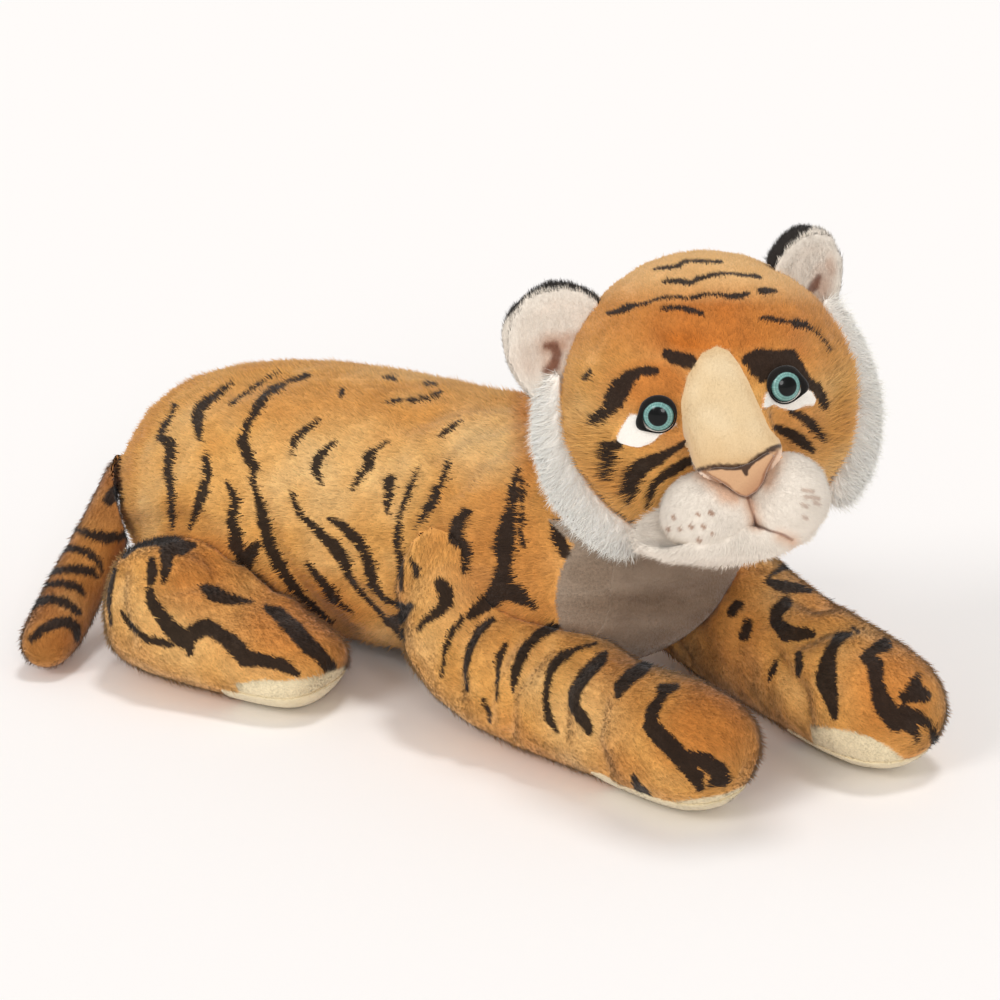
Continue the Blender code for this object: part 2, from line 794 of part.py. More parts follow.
# Tail
tail_frame = settled_frame(tail_stations(), BODY_FRAME, LIMB_SIDES, (0, 1, 0))
tail_cover, tail_stuffing = stuffed("tail", tail_stations(), tail_frame, LIMB_SIDES, (0, 1, 0))
tail_pivot = pivot_at("tail_pivot", BODY_FRAME @ Vector((-TORSO_BEND, TORSO_BEHIND, 0)))
tail_angles = [-share * TAIL_SWING_DEG for share in SPREAD_SHARES]
tail = (tail_cover, tail_stuffing)
carve_swung(tail, torso_near, tail_pivot, tail_angles)
carve_swung(tail, foot_outsides["hind_leg_right"], tail_pivot, tail_angles)
carve(tail_cover, floor)
finish("tail_cover", tail_cover, TAIL_PILE, tail_pivot)
finish("tail_stuffing", tail_stuffing, FIBRE, tail_pivot)

# Head
head_cover, head_stuffing = stuffed("head", head_stations(), HEAD_FRAME, BODY_SIDES)
head_near = soft_form("head_near", head_stations(), HEAD_FRAME, GAP, BODY_SIDES)
head_swung = soft_form("head_swung", head_stations(), HEAD_FRAME, SWING_CLEARANCE, BODY_SIDES)
head_pivot = pivot_at("head_pivot", BODY_FRAME @ NECK_CENTRE)
head_angles = [share * HEAD_SWING_DEG for share in SWING_SHARES]
# A turning socket also clears the neck's corners
corner_room = NECK_RADIUS / math.cos(math.pi / NECK_STEPS) - NECK_RADIUS
head_socket = neck_form("head_socket", GAP + corner_room)
carve(head_cover, head_socket)
carve(head_stuffing, head_socket)
head_soft = [head_cover, head_stuffing]
ear_angles = [share * EAR_FOLD_DEG for share in SPREAD_SHARES]
ear_pivots = []
for side, hand in ((-1, "right"), (1, "left")):
    stations = ruff_stations(side)
    ruff = soft_form("ruff_" + hand, stations, HEAD_FRAME, 0.0, LIMB_SIDES, (0, 1, 0))
    carve(ruff, head_near)
    frame = ear_frame(side)
    ear_pivot = pivot_at("ear_pivot_" + hand, frame.translation, -(frame.to_3x3().col[0]))
    ear_near = soft_form("ear_near_" + hand, ear_stations(), frame, SWING_CLEARANCE)
    for degrees in ear_angles:
        carve(ruff, copy_of(ear_near, "ear_passed", turn_about(ear_pivot, degrees)))
    keep_largest(ruff)
    ear_pivots.append(ear_pivot)
    head_soft.append(ruff)

# Muzzle, chin, nose bridge and nose
muzzle_radii = Vector((MUZZLE_WIDTH, MUZZLE_DEPTH, MUZZLE_HEIGHT)) / 2
muzzle_near = []
muzzles = []
muzzle_ahead = HEAD_DEPTH / 2 + MUZZLE_PROUD
for side, hand in ((-1, "right"), (1, "left")):
    centre = (side * MUZZLE_SPACING / 2, -muzzle_ahead, -MUZZLE_DROP)
    muzzle = ball("muzzle_" + hand, HEAD_FRAME, centre, muzzle_radii)
    grown = [radius + GAP for radius in muzzle_radii]
    muzzle_near.append(ball("muzzle_near_" + hand, HEAD_FRAME, centre, grown))
    inner = -side * GAP / 2
    edge = -side * (MUZZLE_WIDTH + CUT_OVERRUN)
    low = (min(-inner, edge), -muzzle_ahead - CUT_OVERRUN, -MUZZLE_DROP - CUT_OVERRUN)
    high = (max(-inner, edge), -muzzle_ahead + CUT_OVERRUN, -MUZZLE_DROP + CUT_OVERRUN)
    carve(muzzle, block("muzzle_split", HEAD_FRAME, low, high))
    carve(muzzle, head_near)
    muzzles.append(keep_largest(muzzle))
chin_radii = Vector((CHIN_WIDTH, CHIN_DEPTH, CHIN_HEIGHT)) / 2
chin_place = (0, -HEAD_DEPTH / 2, CHIN_RISE - HEAD_HEIGHT / 2)
chin = ball("chin", HEAD_FRAME, chin_place, chin_radii, 2)
bridge = soft_form("bridge", bridge_stations(), HEAD_FRAME)
bridge_near = soft_form("bridge_near", bridge_stations(), HEAD_FRAME, GAP)
nose_radii = Vector((NOSE_WIDTH, NOSE_DEPTH, NOSE_HEIGHT)) / 2
nose_place = (0, -HEAD_DEPTH / 2 - NOSE_PROUD, -NOSE_DROP)
nose = ball("nose", HEAD_FRAME, nose_place, nose_radii, 2)
for piece in (chin, bridge, nose):
    carve(piece, head_near)
    for near in muzzle_near:
        carve(piece, near)
carve(nose, bridge_near)
for piece in (chin, bridge, nose):
    keep_largest(piece)
head_soft.append(chin)
carve_swung(head_soft, torso_near, head_pivot, head_angles)

# Eyes: painted disc with a shank, clear dome, lock washer, black lid and white patch
felt_top = GAP + FELT_THICKNESS
head_felt = soft_form("head_felt", head_stations(), HEAD_FRAME, felt_top, BODY_SIDES)
for side, hand in ((-1, "right"), (1, "left")):
    frame = eye_frame(side)
    dome_base = EYE_DISC_THICKNESS + GAP
    dome_profile = []
    for step in range(DOME_STEPS + 1):
        angle = math.pi / 2 * (1 - step / DOME_STEPS)
        height = dome_base + EYE_DOME_HEIGHT * math.sin(angle)
        dome_profile.append((EYE_RADIUS * math.cos(angle), height))
    dome_profile[0] = (0, dome_base + EYE_DOME_HEIGHT)
    dome_profile.append((0, dome_base))
    dome = turned("eye_dome_" + hand, frame, dome_profile)
    disc = turned("eye_disc_" + hand, frame, disc_profile())
    pocket = turned("eye_pocket_" + hand, frame, pocket_profile())
    for piece in (head_cover, head_stuffing, bridge):
        carve(piece, pocket)
    washer_top = -PILE_WALL - WASHER_THICKNESS / 2
    washer_bottom = washer_top - WASHER_THICKNESS
    washer = turned(
        "eye_washer_" + hand,
        frame,
        (
            (SHANK_RADIUS + GAP, washer_top),
            (WASHER_RADIUS, washer_top),
            (WASHER_RADIUS, washer_bottom),
            (SHANK_RADIUS + GAP, washer_bottom),
            (SHANK_RADIUS + GAP, washer_top),
        ),
    )
    inner = EYE_RADIUS + GAP
    outer = inner + LID_WIDTH
    lid = turned(
        "eye_lid_" + hand,
        frame,
        (
            (inner, LID_RISE),
            (outer, LID_RISE),
            (outer, -PILE_WALL),
            (inner, -PILE_WALL),
            (inner, LID_RISE),
        ),
    )
    carve(lid, head_near)
    crescent = turned("crescent", frame @ patch_stretch(), patch_profile(1.0))
    around_lid = Matrix.Diagonal((outer + GAP, outer + GAP, 2 * EYE_WHITE_WIDTH, 1))
    carve(crescent, turned("lid_near", frame @ around_lid, patch_profile(1.0)))
    patch = copy_of(head_felt, "eye_white_" + hand)
    carve(patch, head_near)
    carve(patch, crescent, "INTERSECT")
    for near in (bridge_near, *muzzle_near):
        carve(patch, near)
        carve(lid, near)
    keep_largest(patch)
    keep_largest(lid)
    finish("eye_dome_" + hand, dome, CLEAR_PLASTIC, head_pivot)
    finish("eye_disc_" + hand, disc, EYE_PLASTIC, head_pivot)
    finish("eye_washer_" + hand, washer, WASHER_PLASTIC, head_pivot)
    finish("eye_lid_" + hand, lid, BLACK_FELT, head_pivot)
    finish("eye_white_" + hand, patch, WHITE_PILE, head_pivot)

# Ears: a pile back and a white lining, folding on the seam at the base
for side, hand, ear_pivot in ((-1, "right", ear_pivots[0]), (1, "left", ear_pivots[1])):
    frame = ear_frame(side)
    ear = soft_form("ear_" + hand, ear_stations(), frame)
    dish_centre = Vector((0, -EAR_THICKNESS / 2 - EAR_DISH_RADIUS + EAR_DISH_DEPTH, EAR_HEIGHT / 2))
    dish = ball("dish", frame, dish_centre, [EAR_DISH_RADIUS] * 3)
    behind = ball("dish_lining", frame, dish_centre, [EAR_DISH_RADIUS + EAR_LINING] * 3)
    behind_near = ball("dish_back", frame, dish_centre, [EAR_DISH_RADIUS + EAR_LINING + GAP] * 3)
    lining = copy_of(ear, "ear_lining_" + hand)
    carve(lining, behind, "INTERSECT")
    carve(lining, dish)
    carve(ear, behind_near)
    carve_swung((ear, lining), head_swung, ear_pivot, ear_angles)
    ear_pivot.parent = head_pivot
    ear_pivot.matrix_parent_inverse = head_pivot.matrix_world.inverted()
    finish("ear_back_" + hand, ear, GOLDEN_PILE, ear_pivot)
    finish("ear_lining_" + hand, lining, WHITE_PILE, ear_pivot)

finish("head_cover", head_cover, GOLDEN_PILE, head_pivot)
finish("head_stuffing", head_stuffing, FIBRE, head_pivot)
finish("ruff_right", head_soft[2], WHITE_PILE, head_pivot)
finish("ruff_left", head_soft[3], WHITE_PILE, head_pivot)
finish("chin", chin, WHITE_PILE, head_pivot)
finish("muzzle_right", muzzles[0], WHITE_PILE, head_pivot)
finish("muzzle_left", muzzles[1], WHITE_PILE, head_pivot)
finish("nose_bridge", bridge, BRIDGE_PILE, head_pivot)
finish("nose", nose, NOSE_CLOTH, head_pivot)
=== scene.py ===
"""Looks of the plush tiger: pile covers over stuffing, a sewn face and plastic eyes."""

import math

import bmesh
import bpy
import numpy as np
from mathutils import Euler, Matrix, Vector
from mathutils.bvhtree import BVHTree
from mathutils.kdtree import KDTree


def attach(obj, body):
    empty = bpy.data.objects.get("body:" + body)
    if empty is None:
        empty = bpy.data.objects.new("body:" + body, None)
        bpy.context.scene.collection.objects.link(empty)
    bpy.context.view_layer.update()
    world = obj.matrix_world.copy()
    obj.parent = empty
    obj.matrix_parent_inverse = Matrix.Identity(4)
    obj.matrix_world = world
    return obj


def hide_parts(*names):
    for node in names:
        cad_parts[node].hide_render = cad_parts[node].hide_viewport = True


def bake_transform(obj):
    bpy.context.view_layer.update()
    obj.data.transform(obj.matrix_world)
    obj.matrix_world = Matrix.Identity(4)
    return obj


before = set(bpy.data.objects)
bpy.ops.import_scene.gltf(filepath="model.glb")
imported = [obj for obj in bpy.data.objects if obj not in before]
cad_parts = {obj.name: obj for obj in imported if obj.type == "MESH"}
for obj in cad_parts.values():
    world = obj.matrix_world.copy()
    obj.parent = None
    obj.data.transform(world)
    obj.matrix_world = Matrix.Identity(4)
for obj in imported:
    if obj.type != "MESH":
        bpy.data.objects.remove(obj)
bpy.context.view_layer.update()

MM = 0.001
SCENE = bpy.context.scene

# Camera, at the photograph's angle
PHOTO_PIXELS = 1000
FOCAL_PIXELS = 3220
SENSOR_WIDTH = 36
CAMERA_AZIMUTH = math.radians(-42)
CAMERA_ELEVATION = math.radians(19)
CAMERA_DISTANCE = 2.3
CAMERA_TARGET = np.array((-0.0127, -0.1875, 0.15))
CAMERA_BACK = np.array(
    (
        math.sin(CAMERA_AZIMUTH) * math.cos(CAMERA_ELEVATION),
        -math.cos(CAMERA_AZIMUTH) * math.cos(CAMERA_ELEVATION),
        math.sin(CAMERA_ELEVATION),
    )
)
CAMERA_RIGHT = np.cross(-CAMERA_BACK, (0, 0, 1))
CAMERA_RIGHT /= np.linalg.norm(CAMERA_RIGHT)
CAMERA_UP = np.cross(CAMERA_BACK, CAMERA_RIGHT)
CAMERA_PLACE = CAMERA_TARGET + CAMERA_BACK * CAMERA_DISTANCE

# Head, as the model has it: face to -Y, up +Z
HEAD_CENTRE = Vector((0.0193, -0.3595, 0.26))
HEAD_TURN, HEAD_PITCH, HEAD_TILT = (math.radians(angle) for angle in (-38, -8, -12))
HEAD_FRAME = (
    Matrix.Translation(HEAD_CENTRE)
    @ Euler((0, 0, HEAD_TURN)).to_matrix().to_4x4()
    @ Euler((HEAD_PITCH, 0, 0)).to_matrix().to_4x4()
    @ Euler((0, HEAD_TILT, 0)).to_matrix().to_4x4()
)
HEAD_AXES = np.array(HEAD_FRAME.to_3x3())
BODY_MIDDLE = 0.0273

# Eye, as the model has it
EYE_PLACE = Vector((41.5 * MM, -93 * MM, 13 * MM))
EYE_SPLAY = math.radians(14)
EYE_SHOWN = 10.7 * MM
EYE_DOME_HEIGHT = 6.5 * MM
LID_RADIUS = 11.4 * MM
LID_ROLL = 2.6 * MM
LID_THIN = 0.2
LID_LIFT = 1.4 * MM
LID_TIP_REACH = math.radians(26)

# Colours as they are seen, in sRGB
GOLD = "E6A95B"
GOLD_DEEP = "CB8238"
GOLD_PALE = "F2C88A"
# Painted highlight for the crown, where light falls on the top of the head.
CROWN_HIGHLIGHT = "F8C98A"
RUST = "C26E24"
BLACK = "211814"
TAIL_BROWN = "9E5C24"
WHITE = "FCF5EB"
# The bib's greyish tan is darkened to carry part of the shade under the chin.
BIB = "A3907D"
# Colour of the painted shade on the bib.
BIB_SHADE = "7C6652"
SOLE = "EAD9B4"
BRIDGE = "E3C79C"
NOSE = "CFA27A"
NOSE_DEEP = "A9714F"
PAD = "F3E7D8"
# Painted shade, brown, along the creases round the nose and the mouth.
SNOUT_SHADE = "D59A6C"
LINE_DARK = "3A251B"
BROWN = "7E4326"
WHISKER = "9A6440"
NOSE_LINE = "7A452A"
BRIDGE_LOW = "D9AE78"
BRIDGE_PALE = "F3DDB8"
# Painted shade for the bridge's edges, where it turns away from the light.
BRIDGE_EDGE_SHADE = "C99C66"
# Painted shade, brown, low in the ears' hollows, and darker along their folds.
EAR_HOLLOW_SHADE = "B5764A"
EAR_FOLD_SHADE = "6B3013"
EAR_BLACK = "1A1412"


def linear(text):
    """Linear colour of an sRGB hex text."""
    parts = np.array([int(text[i : i + 2], 16) for i in (0, 2, 4)]) / 255
    return np.where(parts <= 0.04045, parts / 12.92, ((parts + 0.055) / 1.055) ** 2.4)


# Stripes, as they are seen in the photograph: pixel across, pixel down, half width
SIDE_STRIPES = (
    ((175, 405, 1.5), (165, 425, 3), (160, 437, 3.5), (171, 444, 4), (168, 470, 4), (171, 500, 3), (172, 528, 1.5)),
    ((232, 382, 1), (215, 395, 2.5), (199, 408, 5), (197, 420, 5.5), (199, 438, 1)),
    ((205, 452, 1), (207, 475, 4), (200, 500, 4.5), (196, 513, 3), (190, 528, 2)),
    ((308, 375, 2), (290, 381, 1.5), (270, 391, 3.5), (256, 408, 4), (245, 428, 3), (242, 440, 5), (247, 455, 4.5),
     (254, 468, 4), (252, 480, 2.5), (257, 496, 2), (262, 515, 5), (268, 540, 6), (278, 565, 6), (290, 583, 5),
     (303, 600, 4), (318, 612, 4), (331, 623, 1.5)),
    ((278, 371, 1), (255, 386, 1.8), (230, 404, 1)),
    ((226, 481, 1), (235, 500, 4), (232, 521, 5), (236, 545, 7), (240, 556, 4)),
    ((290, 492, 1), (300, 515, 3), (318, 532, 3.5), (333, 545, 6), (342, 558, 6), (348, 575, 3), (360, 592, 2.5),
     (380, 612, 2), (401, 639, 1)),
    ((329, 519, 1.5), (342, 525, 3.5), (355, 538, 5), (365, 552, 4.5), (370, 570, 5), (372, 585, 4), (385, 600, 2.5),
     (404, 607, 3)),
    ((388, 622, 4), (400, 619, 5), (410, 606, 3)),
    ((395, 624, 3), (404, 640, 1)),
    ((318, 420, 1.5), (300, 434, 3.5), (294, 440, 3), (290, 453, 1)),
    ((335, 440, 1), (320, 455, 4), (315, 468, 4.5), (321, 484, 1)),
    ((387, 442, 1), (366, 456, 3), (370, 464, 4.5), (360, 474, 3), (352, 489, 1.5)),
    ((389, 481, 5.5), (388, 495, 4.5), (387, 513, 1)),
    ((420, 465, 1), (408, 490, 1.5), (398, 520, 2), (397, 545, 3), (400, 560, 3), (401, 590, 1)),
    ((449, 460, 1), (440, 485, 2.5), (430, 505, 5), (420, 520, 2), (414, 530, 1)),
    ((307, 564, 2), (322, 582, 4), (331, 596, 5), (342, 606, 2.5), (352, 612, 1)),
    ((411, 560, 1), (416, 568, 3), (416, 576, 2)),
    ((256, 545, 4), (246, 560, 8), (238, 578, 9), (240, 590, 4)),
    ((460, 420, 1), (445, 432, 2), (438, 436, 1)),
    ((440, 392, 1), (425, 398, 1.5), (385, 402, 0.8)),
    ((342, 389, 1.5), (341, 396, 2)),
    ((384, 377, 1.2), (395, 378, 1.2)),
    ((426, 383, 1), (436, 384, 1)),
    ((465, 512, 4), (458, 522, 6), (455, 538, 6.5), (466, 547, 4), (466, 560, 4), (464, 572, 1.5)),
    ((516, 490, 3), (510, 510, 5), (506, 530, 9), (503, 548, 10), (505, 560, 6), (503, 575, 9), (502, 588, 11),
     (490, 600, 9), (475, 612, 5), (470, 616, 3)),
    ((505, 590, 9), (518, 595, 8), (528, 603, 4), (534, 608, 1.5)),
    ((520, 468, 1.5), (512, 485, 2), (508, 500, 2)),
    ((522, 480, 1.5), (522, 505, 2), (520, 530, 2), (523, 545, 2)),
    ((440, 583, 5), (446, 592, 7), (446, 604, 6.5), (436, 614, 4), (424, 622, 2.5), (418, 630, 1.5)),
    ((555, 524, 5), (558, 540, 6), (565, 553, 5)),
    ((463, 618, 2), (452, 632, 2.5), (446, 648, 2), (442, 676, 1)),
    ((492, 620, 2), (480, 630, 3.5), (470, 648, 3), (466, 665, 2.5), (467, 690, 1)),
    ((506, 645, 2), (500, 655, 3), (498, 670, 1.5), (497, 700, 1)),
    ((562, 625, 1), (552, 628, 4), (538, 635, 5), (525, 650, 5), (517, 668, 4.5), (514, 685, 3), (513, 692, 1)),
    ((596, 643, 1), (580, 648, 2), (563, 656, 5), (552, 668, 4), (547, 685, 2.5), (546, 705, 2.5), (549, 718, 4),
     (556, 731, 2)),
    ((606, 652, 2), (600, 660, 6), (585, 675, 6), (575, 692, 6), (574, 707, 5), (582, 718, 6), (590, 732, 3)),
    ((650, 662, 4), (644, 667, 6), (630, 677, 7), (620, 687, 6), (617, 697, 2)),
    ((676, 686, 3), (664, 690, 7), (660, 700, 4), (652, 712, 6), (652, 726, 8), (662, 738, 9), (674, 750, 9),
     (686, 764, 8), (696, 776, 7), (700, 788, 4)),
    ((690, 756, 5), (705, 762, 8), (720, 772, 8), (724, 780, 6), (712, 784, 4)),
    ((634, 777, 2), (638, 787, 4), (645, 795, 5), (653, 802, 2)),
    ((484, 700, 1), (489, 712, 1.5), (490, 722, 1)),
)
HIND_STRIPES = (
    ((124, 556, 2), (135, 543, 5), (150, 538, 7), (165, 539, 7), (180, 548, 8), (193, 545, 3)),
    ((166, 550, 6), (167, 565, 5), (164, 580, 3)),
    ((152, 560, 3), (152, 572, 5), (151, 583, 3)),
    ((115, 570, 1.5), (110, 590, 2), (109, 604, 2), (111, 625, 1)),
    ((122, 612, 1), (133, 628, 2), (148, 640, 3), (160, 642, 4), (171, 645, 2)),
    ((150, 592, 4), (152, 602, 5), (160, 615, 6), (170, 628, 8), (185, 640, 9), (195, 632, 8), (206, 627, 8),
     (220, 634, 7), (235, 646, 8), (245, 658, 8), (262, 660, 6), (280, 664, 6), (297, 674, 3)),
    ((190, 648, 4), (190, 655, 2)),
    ((205, 588, 4), (215, 594, 8), (230, 599, 5), (252, 602, 1.5)),
    ((267, 608, 3), (278, 614, 7), (295, 630, 8), (308, 645, 8), (320, 655, 7), (330, 667, 6), (334, 673, 3)),
)
FAR_LEG_STRIPES = (
    ((769, 577, 1), (783, 567, 3), (803, 564, 4), (820, 569, 2)),
    ((769, 582, 3), (780, 586, 6), (795, 588, 5), (810, 590, 2)),
    ((786, 603, 6), (776, 612, 6), (776, 622, 6), (787, 634, 8), (800, 634, 7), (812, 634, 4)),
    ((748, 622, 4), (744, 635, 5)),
    ((738, 605, 5), (732, 612, 4)),
    ((850, 634, 2), (840, 637, 5), (832, 648, 5), (828, 662, 8), (826, 680, 10), (830, 695, 7), (834, 712, 4),
     (835, 718, 2)),
    ((853, 628, 1), (858, 632, 1.5)),
    ((885, 645, 7), (875, 648, 5), (868, 655, 5)),
    ((865, 657, 4), (875, 665, 8), (876, 680, 7), (880, 697, 8), (888, 712, 10), (897, 722, 10)),
    ((905, 712, 7), (918, 718, 6), (928, 724, 4)),
    ((905, 722, 6), (915, 732, 5), (918, 740, 2)),
    ((918, 676, 3), (915, 690, 8), (925, 696, 6), (905, 697, 5)),
    ((932, 730, 3), (936, 745, 4), (934, 755, 3), (925, 762, 5)),
    ((799, 654, 3), (799, 668, 3.5), (798, 676, 1)),
    ((777, 661, 1), (773, 670, 3), (769, 680, 1)),
)
TAIL_STRIPES = (
    ((108, 500, 5), (116, 493, 8), (122, 486, 3)),
    ((78, 530, 2), (90, 535, 4), (104, 538, 5), (118, 537, 4), (131, 532, 3)),
    ((57, 551, 1.5), (70, 548, 3), (89, 553, 3.5), (99, 562, 2.5), (102, 572, 1)),
    ((43, 575, 1.5), (60, 570, 3), (78, 569, 4), (90, 571, 4), (97, 577, 2)),
    ((45, 585, 1.5), (60, 583, 3.5), (77, 587, 4), (85, 595, 2)),
    ((25, 612, 2), (35, 603, 3.5), (50, 599, 4), (65, 602, 4), (78, 612, 3.5)),
    ((32, 639, 3), (42, 631, 4), (55, 624, 5), (68, 621, 5), (77, 628, 4), (77, 640, 2)),
)
FACE_STRIPES = (
    ((654, 269, 0.7), (664, 267.6, 1), (673, 267, 1.2), (679, 265.7, 1), (683, 261.4, 1), (690, 260.4, 1),
     (704, 261, 0.8), (721, 261.6, 0.7)),
    ((663, 282, 1), (670, 281.4, 1.8), (681, 281, 2), (689, 283, 1.7), (693, 282, 1), (697, 278.6, 2), (704, 276.7, 2),
     (711, 275.7, 1.2), (721, 273.6, 0.8), (733, 273.6, 0.8), (747, 275.3, 1), (756, 276, 1.4), (761, 277.6, 0.6)),
    ((608, 313, 1.5), (618, 311, 2.2), (627, 307, 3.4), (634, 305.3, 2.2), (641, 304.3, 1), (650, 301.4, 0.7),
     (664, 297, 1.3), (679, 296.7, 1.1), (690, 298, 0.8), (696, 297, 1.3), (704, 294.3, 0.8), (719, 294, 1),
     (724, 295.7, 1.7), (733, 296.4, 2.5), (741, 295.7, 2), (749, 293, 0.8)),
    ((661, 308, 1), (670, 307.6, 2), (681, 307.6, 2.2), (690, 310, 2.5), (703, 313.6, 1)),
    ((759, 290, 1.5), (766, 290.7, 3), (776, 291, 1)),
    ((760, 318, 1), (769, 318, 2), (787, 321.4, 1), (792, 322, 1.5), (796, 323, 4), (806, 324.3, 2), (813, 329.3, 1),
     (821, 335, 0.8), (831, 349.3, 0.7)),
    ((655, 371, 4), (640, 371, 4), (628, 378, 7), (620, 388, 10), (614, 400, 10), (605, 412, 6), (592, 420, 4),
     (587, 422, 1)),
    ((667, 354, 5), (676, 358, 6.5), (689, 361, 7), (693, 365, 4)),
    ((747, 360, 5), (760, 357, 8), (775, 360, 9), (790, 358, 8), (797, 368, 7), (806, 382, 5), (817, 388, 5),
     (824, 402, 4), (826, 408, 1.5)),
    ((757, 368, 8), (772, 366, 8), (762, 378, 4)),
    ((618, 445, 4), (606, 448, 7), (606, 460, 7), (605, 475, 5)),
    ((689, 441, 1.5), (675, 449, 3), (660, 458, 5), (642, 466, 8), (632, 475, 10), (628, 490, 8), (628, 502, 3)),
    ((690, 461, 4), (680, 466, 4), (668, 473, 4), (655, 483, 3.5), (649, 495, 3.5), (646, 508, 1.5)),
    ((658, 520, 2), (659, 530, 2)),
    ((590, 371, 1), (584, 378, 2)),
    ((791, 412, 2), (803, 417, 4), (815, 427, 4), (825, 440, 2)),
    ((777, 428, 3), (790, 434, 5), (803, 441, 5), (812, 450, 3)),
)
NAPE_STRIPES = (
    ((620, 300, 1), (660, 285, 4), (700, 280, 3)),
    ((715, 286, 2), (750, 283, 4), (790, 296, 1)),
    ((600, 345, 2), (640, 330, 6), (690, 326, 4), (700, 325, 1)),
    ((725, 322, 1), (770, 326, 6), (815, 345, 2)),
    ((590, 400, 3), (630, 380, 7), (680, 372, 5), (695, 372, 1)),
    ((715, 372, 1), (760, 378, 7), (825, 402, 3)),
    ((600, 450, 2), (645, 430, 6), (700, 424, 5), (760, 432, 6), (815, 455, 2)),
    ((620, 495, 2), (670, 478, 5), (700, 476, 2)),
    ((725, 478, 2), (770, 486, 5), (800, 500, 1)),
)

# Painted shade on the bib, under the chin and in its folds: pixel across, pixel down, reach across, reach down, amount
BIB_SHADOWS = ((590, 572, 34, 22, 0.55), (640, 604, 75, 14, 0.8), (705, 605, 40, 26, 0.5), (680, 645, 60, 20, 0.4))

# Patches of deeper gold: pixel across, pixel down, reach across, reach down, amount
SIDE_DEEP = (
    (712, 725, 52, 48, 0.9),
    (620, 670, 40, 26, 0.4),
    (505, 560, 62, 85, 0.6),
    (525, 440, 16, 80, 0.7),
    (290, 625, 62, 42, 0.75),
    (200, 575, 42, 42, 0.7),
    (300, 400, 90, 26, 0.3),
    (440, 415, 60, 24, 0.3),
)
# Painted highlights: lighter gold where light falls on the shoulder top and the flank, and on the near foreleg and hind
# foot: pixel across, pixel down, reach across, reach down, amount
SIDE_HIGHLIGHTS = ((478, 445, 38, 34, 0.8), (340, 470, 75, 45, 0.5), (590, 720, 34, 40, 0.5), (170, 640, 60, 40, 0.4))
FAR_LEG_DEEP = ((893, 690, 46, 52, 0.75), (830, 590, 50, 34, 0.45), (740, 640, 30, 60, 0.5))
FACE_DEEP = (
    (715, 325, 118, 46, 1.0),
    (655, 385, 48, 36, 0.9),
    (680, 430, 36, 30, 0.6),
    (770, 350, 60, 30, 0.8),
    (800, 425, 34, 34, 0.5),
)


# Outlines, as they are seen in the photograph
BRIDGE_OUTLINE = ((716, 347), (728, 351), (738, 364), (748, 384), (758, 408), (768, 430), (781, 447), (752, 464),
                  (744, 472), (722, 466), (700, 468), (692, 448), (685, 425), (682, 402), (688, 376), (702, 354))
SNOUT_OUTLINE = ((716, 347), (728, 351), (738, 364), (748, 384), (758, 408), (768, 430), (781, 447), (779, 462),
                 (768, 482), (756, 497), (747, 501), (735, 496), (718, 486), (704, 478), (694, 468), (690, 448),
                 (685, 425), (682, 402), (688, 376), (702, 354))
NOSE_OUTLINE = ((701, 470), (712, 467), (735, 468), (752, 462), (768, 451), (778, 448), (774, 458), (767, 470),
                (764, 481), (757, 491), (747, 497), (739, 495), (728, 487), (718, 480), (708, 475))
NEAR_WHITE = ((617, 438), (621, 430), (625, 423), (630, 415), (637, 415), (645, 418), (660, 420), (672, 423), (677, 425),
              (668, 429), (660, 435), (652, 442), (640, 447), (628, 445), (620, 442))
FAR_WHITE = ((762, 409), (764, 396), (770, 390), (782, 388), (795, 389), (803, 388), (811, 392), (815, 399), (813, 405),
             (803, 406), (793, 410), (782, 408), (773, 404), (766, 408))
BIB_OUTLINE = ((548, 520), (574, 545), (560, 572), (555, 600), (560, 625), (590, 700), (700, 700), (716, 640),
               (745, 592), (760, 570), (800, 520))
NEAR_SOLE = ((650, 806), (690, 800), (725, 794), (758, 780), (775, 800), (740, 830), (690, 830), (655, 815))
FAR_SOLE = ((810, 726), (830, 728), (850, 731), (872, 738), (890, 748), (910, 764), (930, 772), (915, 790),
            (860, 790), (815, 755))
HIND_SOLE = ((236, 684), (262, 680), (285, 681), (315, 677), (346, 666), (356, 690), (330, 720), (270, 715),
             (240, 694))


def pixel_of(points):
    """Where points fall in the photograph's frame, in pixels from its upper left."""
    apart = np.asarray(points, float) - CAMERA_PLACE
    depth = -(apart @ CAMERA_BACK)
    across = apart @ CAMERA_RIGHT / depth
    up = apart @ CAMERA_UP / depth
    middle = PHOTO_PIXELS / 2
    return np.stack([middle + FOCAL_PIXELS * across, middle - FOCAL_PIXELS * up], -1)


def drift(points, size, seed):
    """Smooth noise from -1 to 1, with bumps of that size."""
    cell = np.asarray(points, float) / size + seed * 17.31
    base = np.floor(cell).astype(np.int64)
    part = cell - base
    part = part * part * (3 - 2 * part)
    total = np.zeros(len(cell))
    for corner in range(8):
        step = np.array([corner & 1, corner >> 1 & 1, corner >> 2 & 1])
        spot = base + step
        mixed = (spot[:, 0] * 73856093) ^ (spot[:, 1] * 19349663) ^ (spot[:, 2] * 83492791)
        mixed = (mixed ^ (mixed >> 13)) * 1274126177
        value = ((mixed ^ (mixed >> 16)) & 0xFFFF) / 32767.5 - 1
        total += value * np.prod(np.where(step, part, 1 - part), axis=1)
    return total


def beside(pixels, lines):
    """Pixels from each point to the edge of the nearest line: below zero on it."""
    nearest = np.full(len(pixels), 1e3)
    for line in lines:
        for (ax, ay, aw), (bx, by, bw) in zip(line, line[1:]):
            run = np.array((bx - ax, by - ay), float)
            apart = pixels - (ax, ay)
            share = np.clip(apart @ run / max(run @ run, 1e-9), 0, 1)
            gap = np.hypot(apart[:, 0] - share * run[0], apart[:, 1] - share * run[1])
            nearest = np.minimum(nearest, gap - aw - share * (bw - aw))
    return nearest


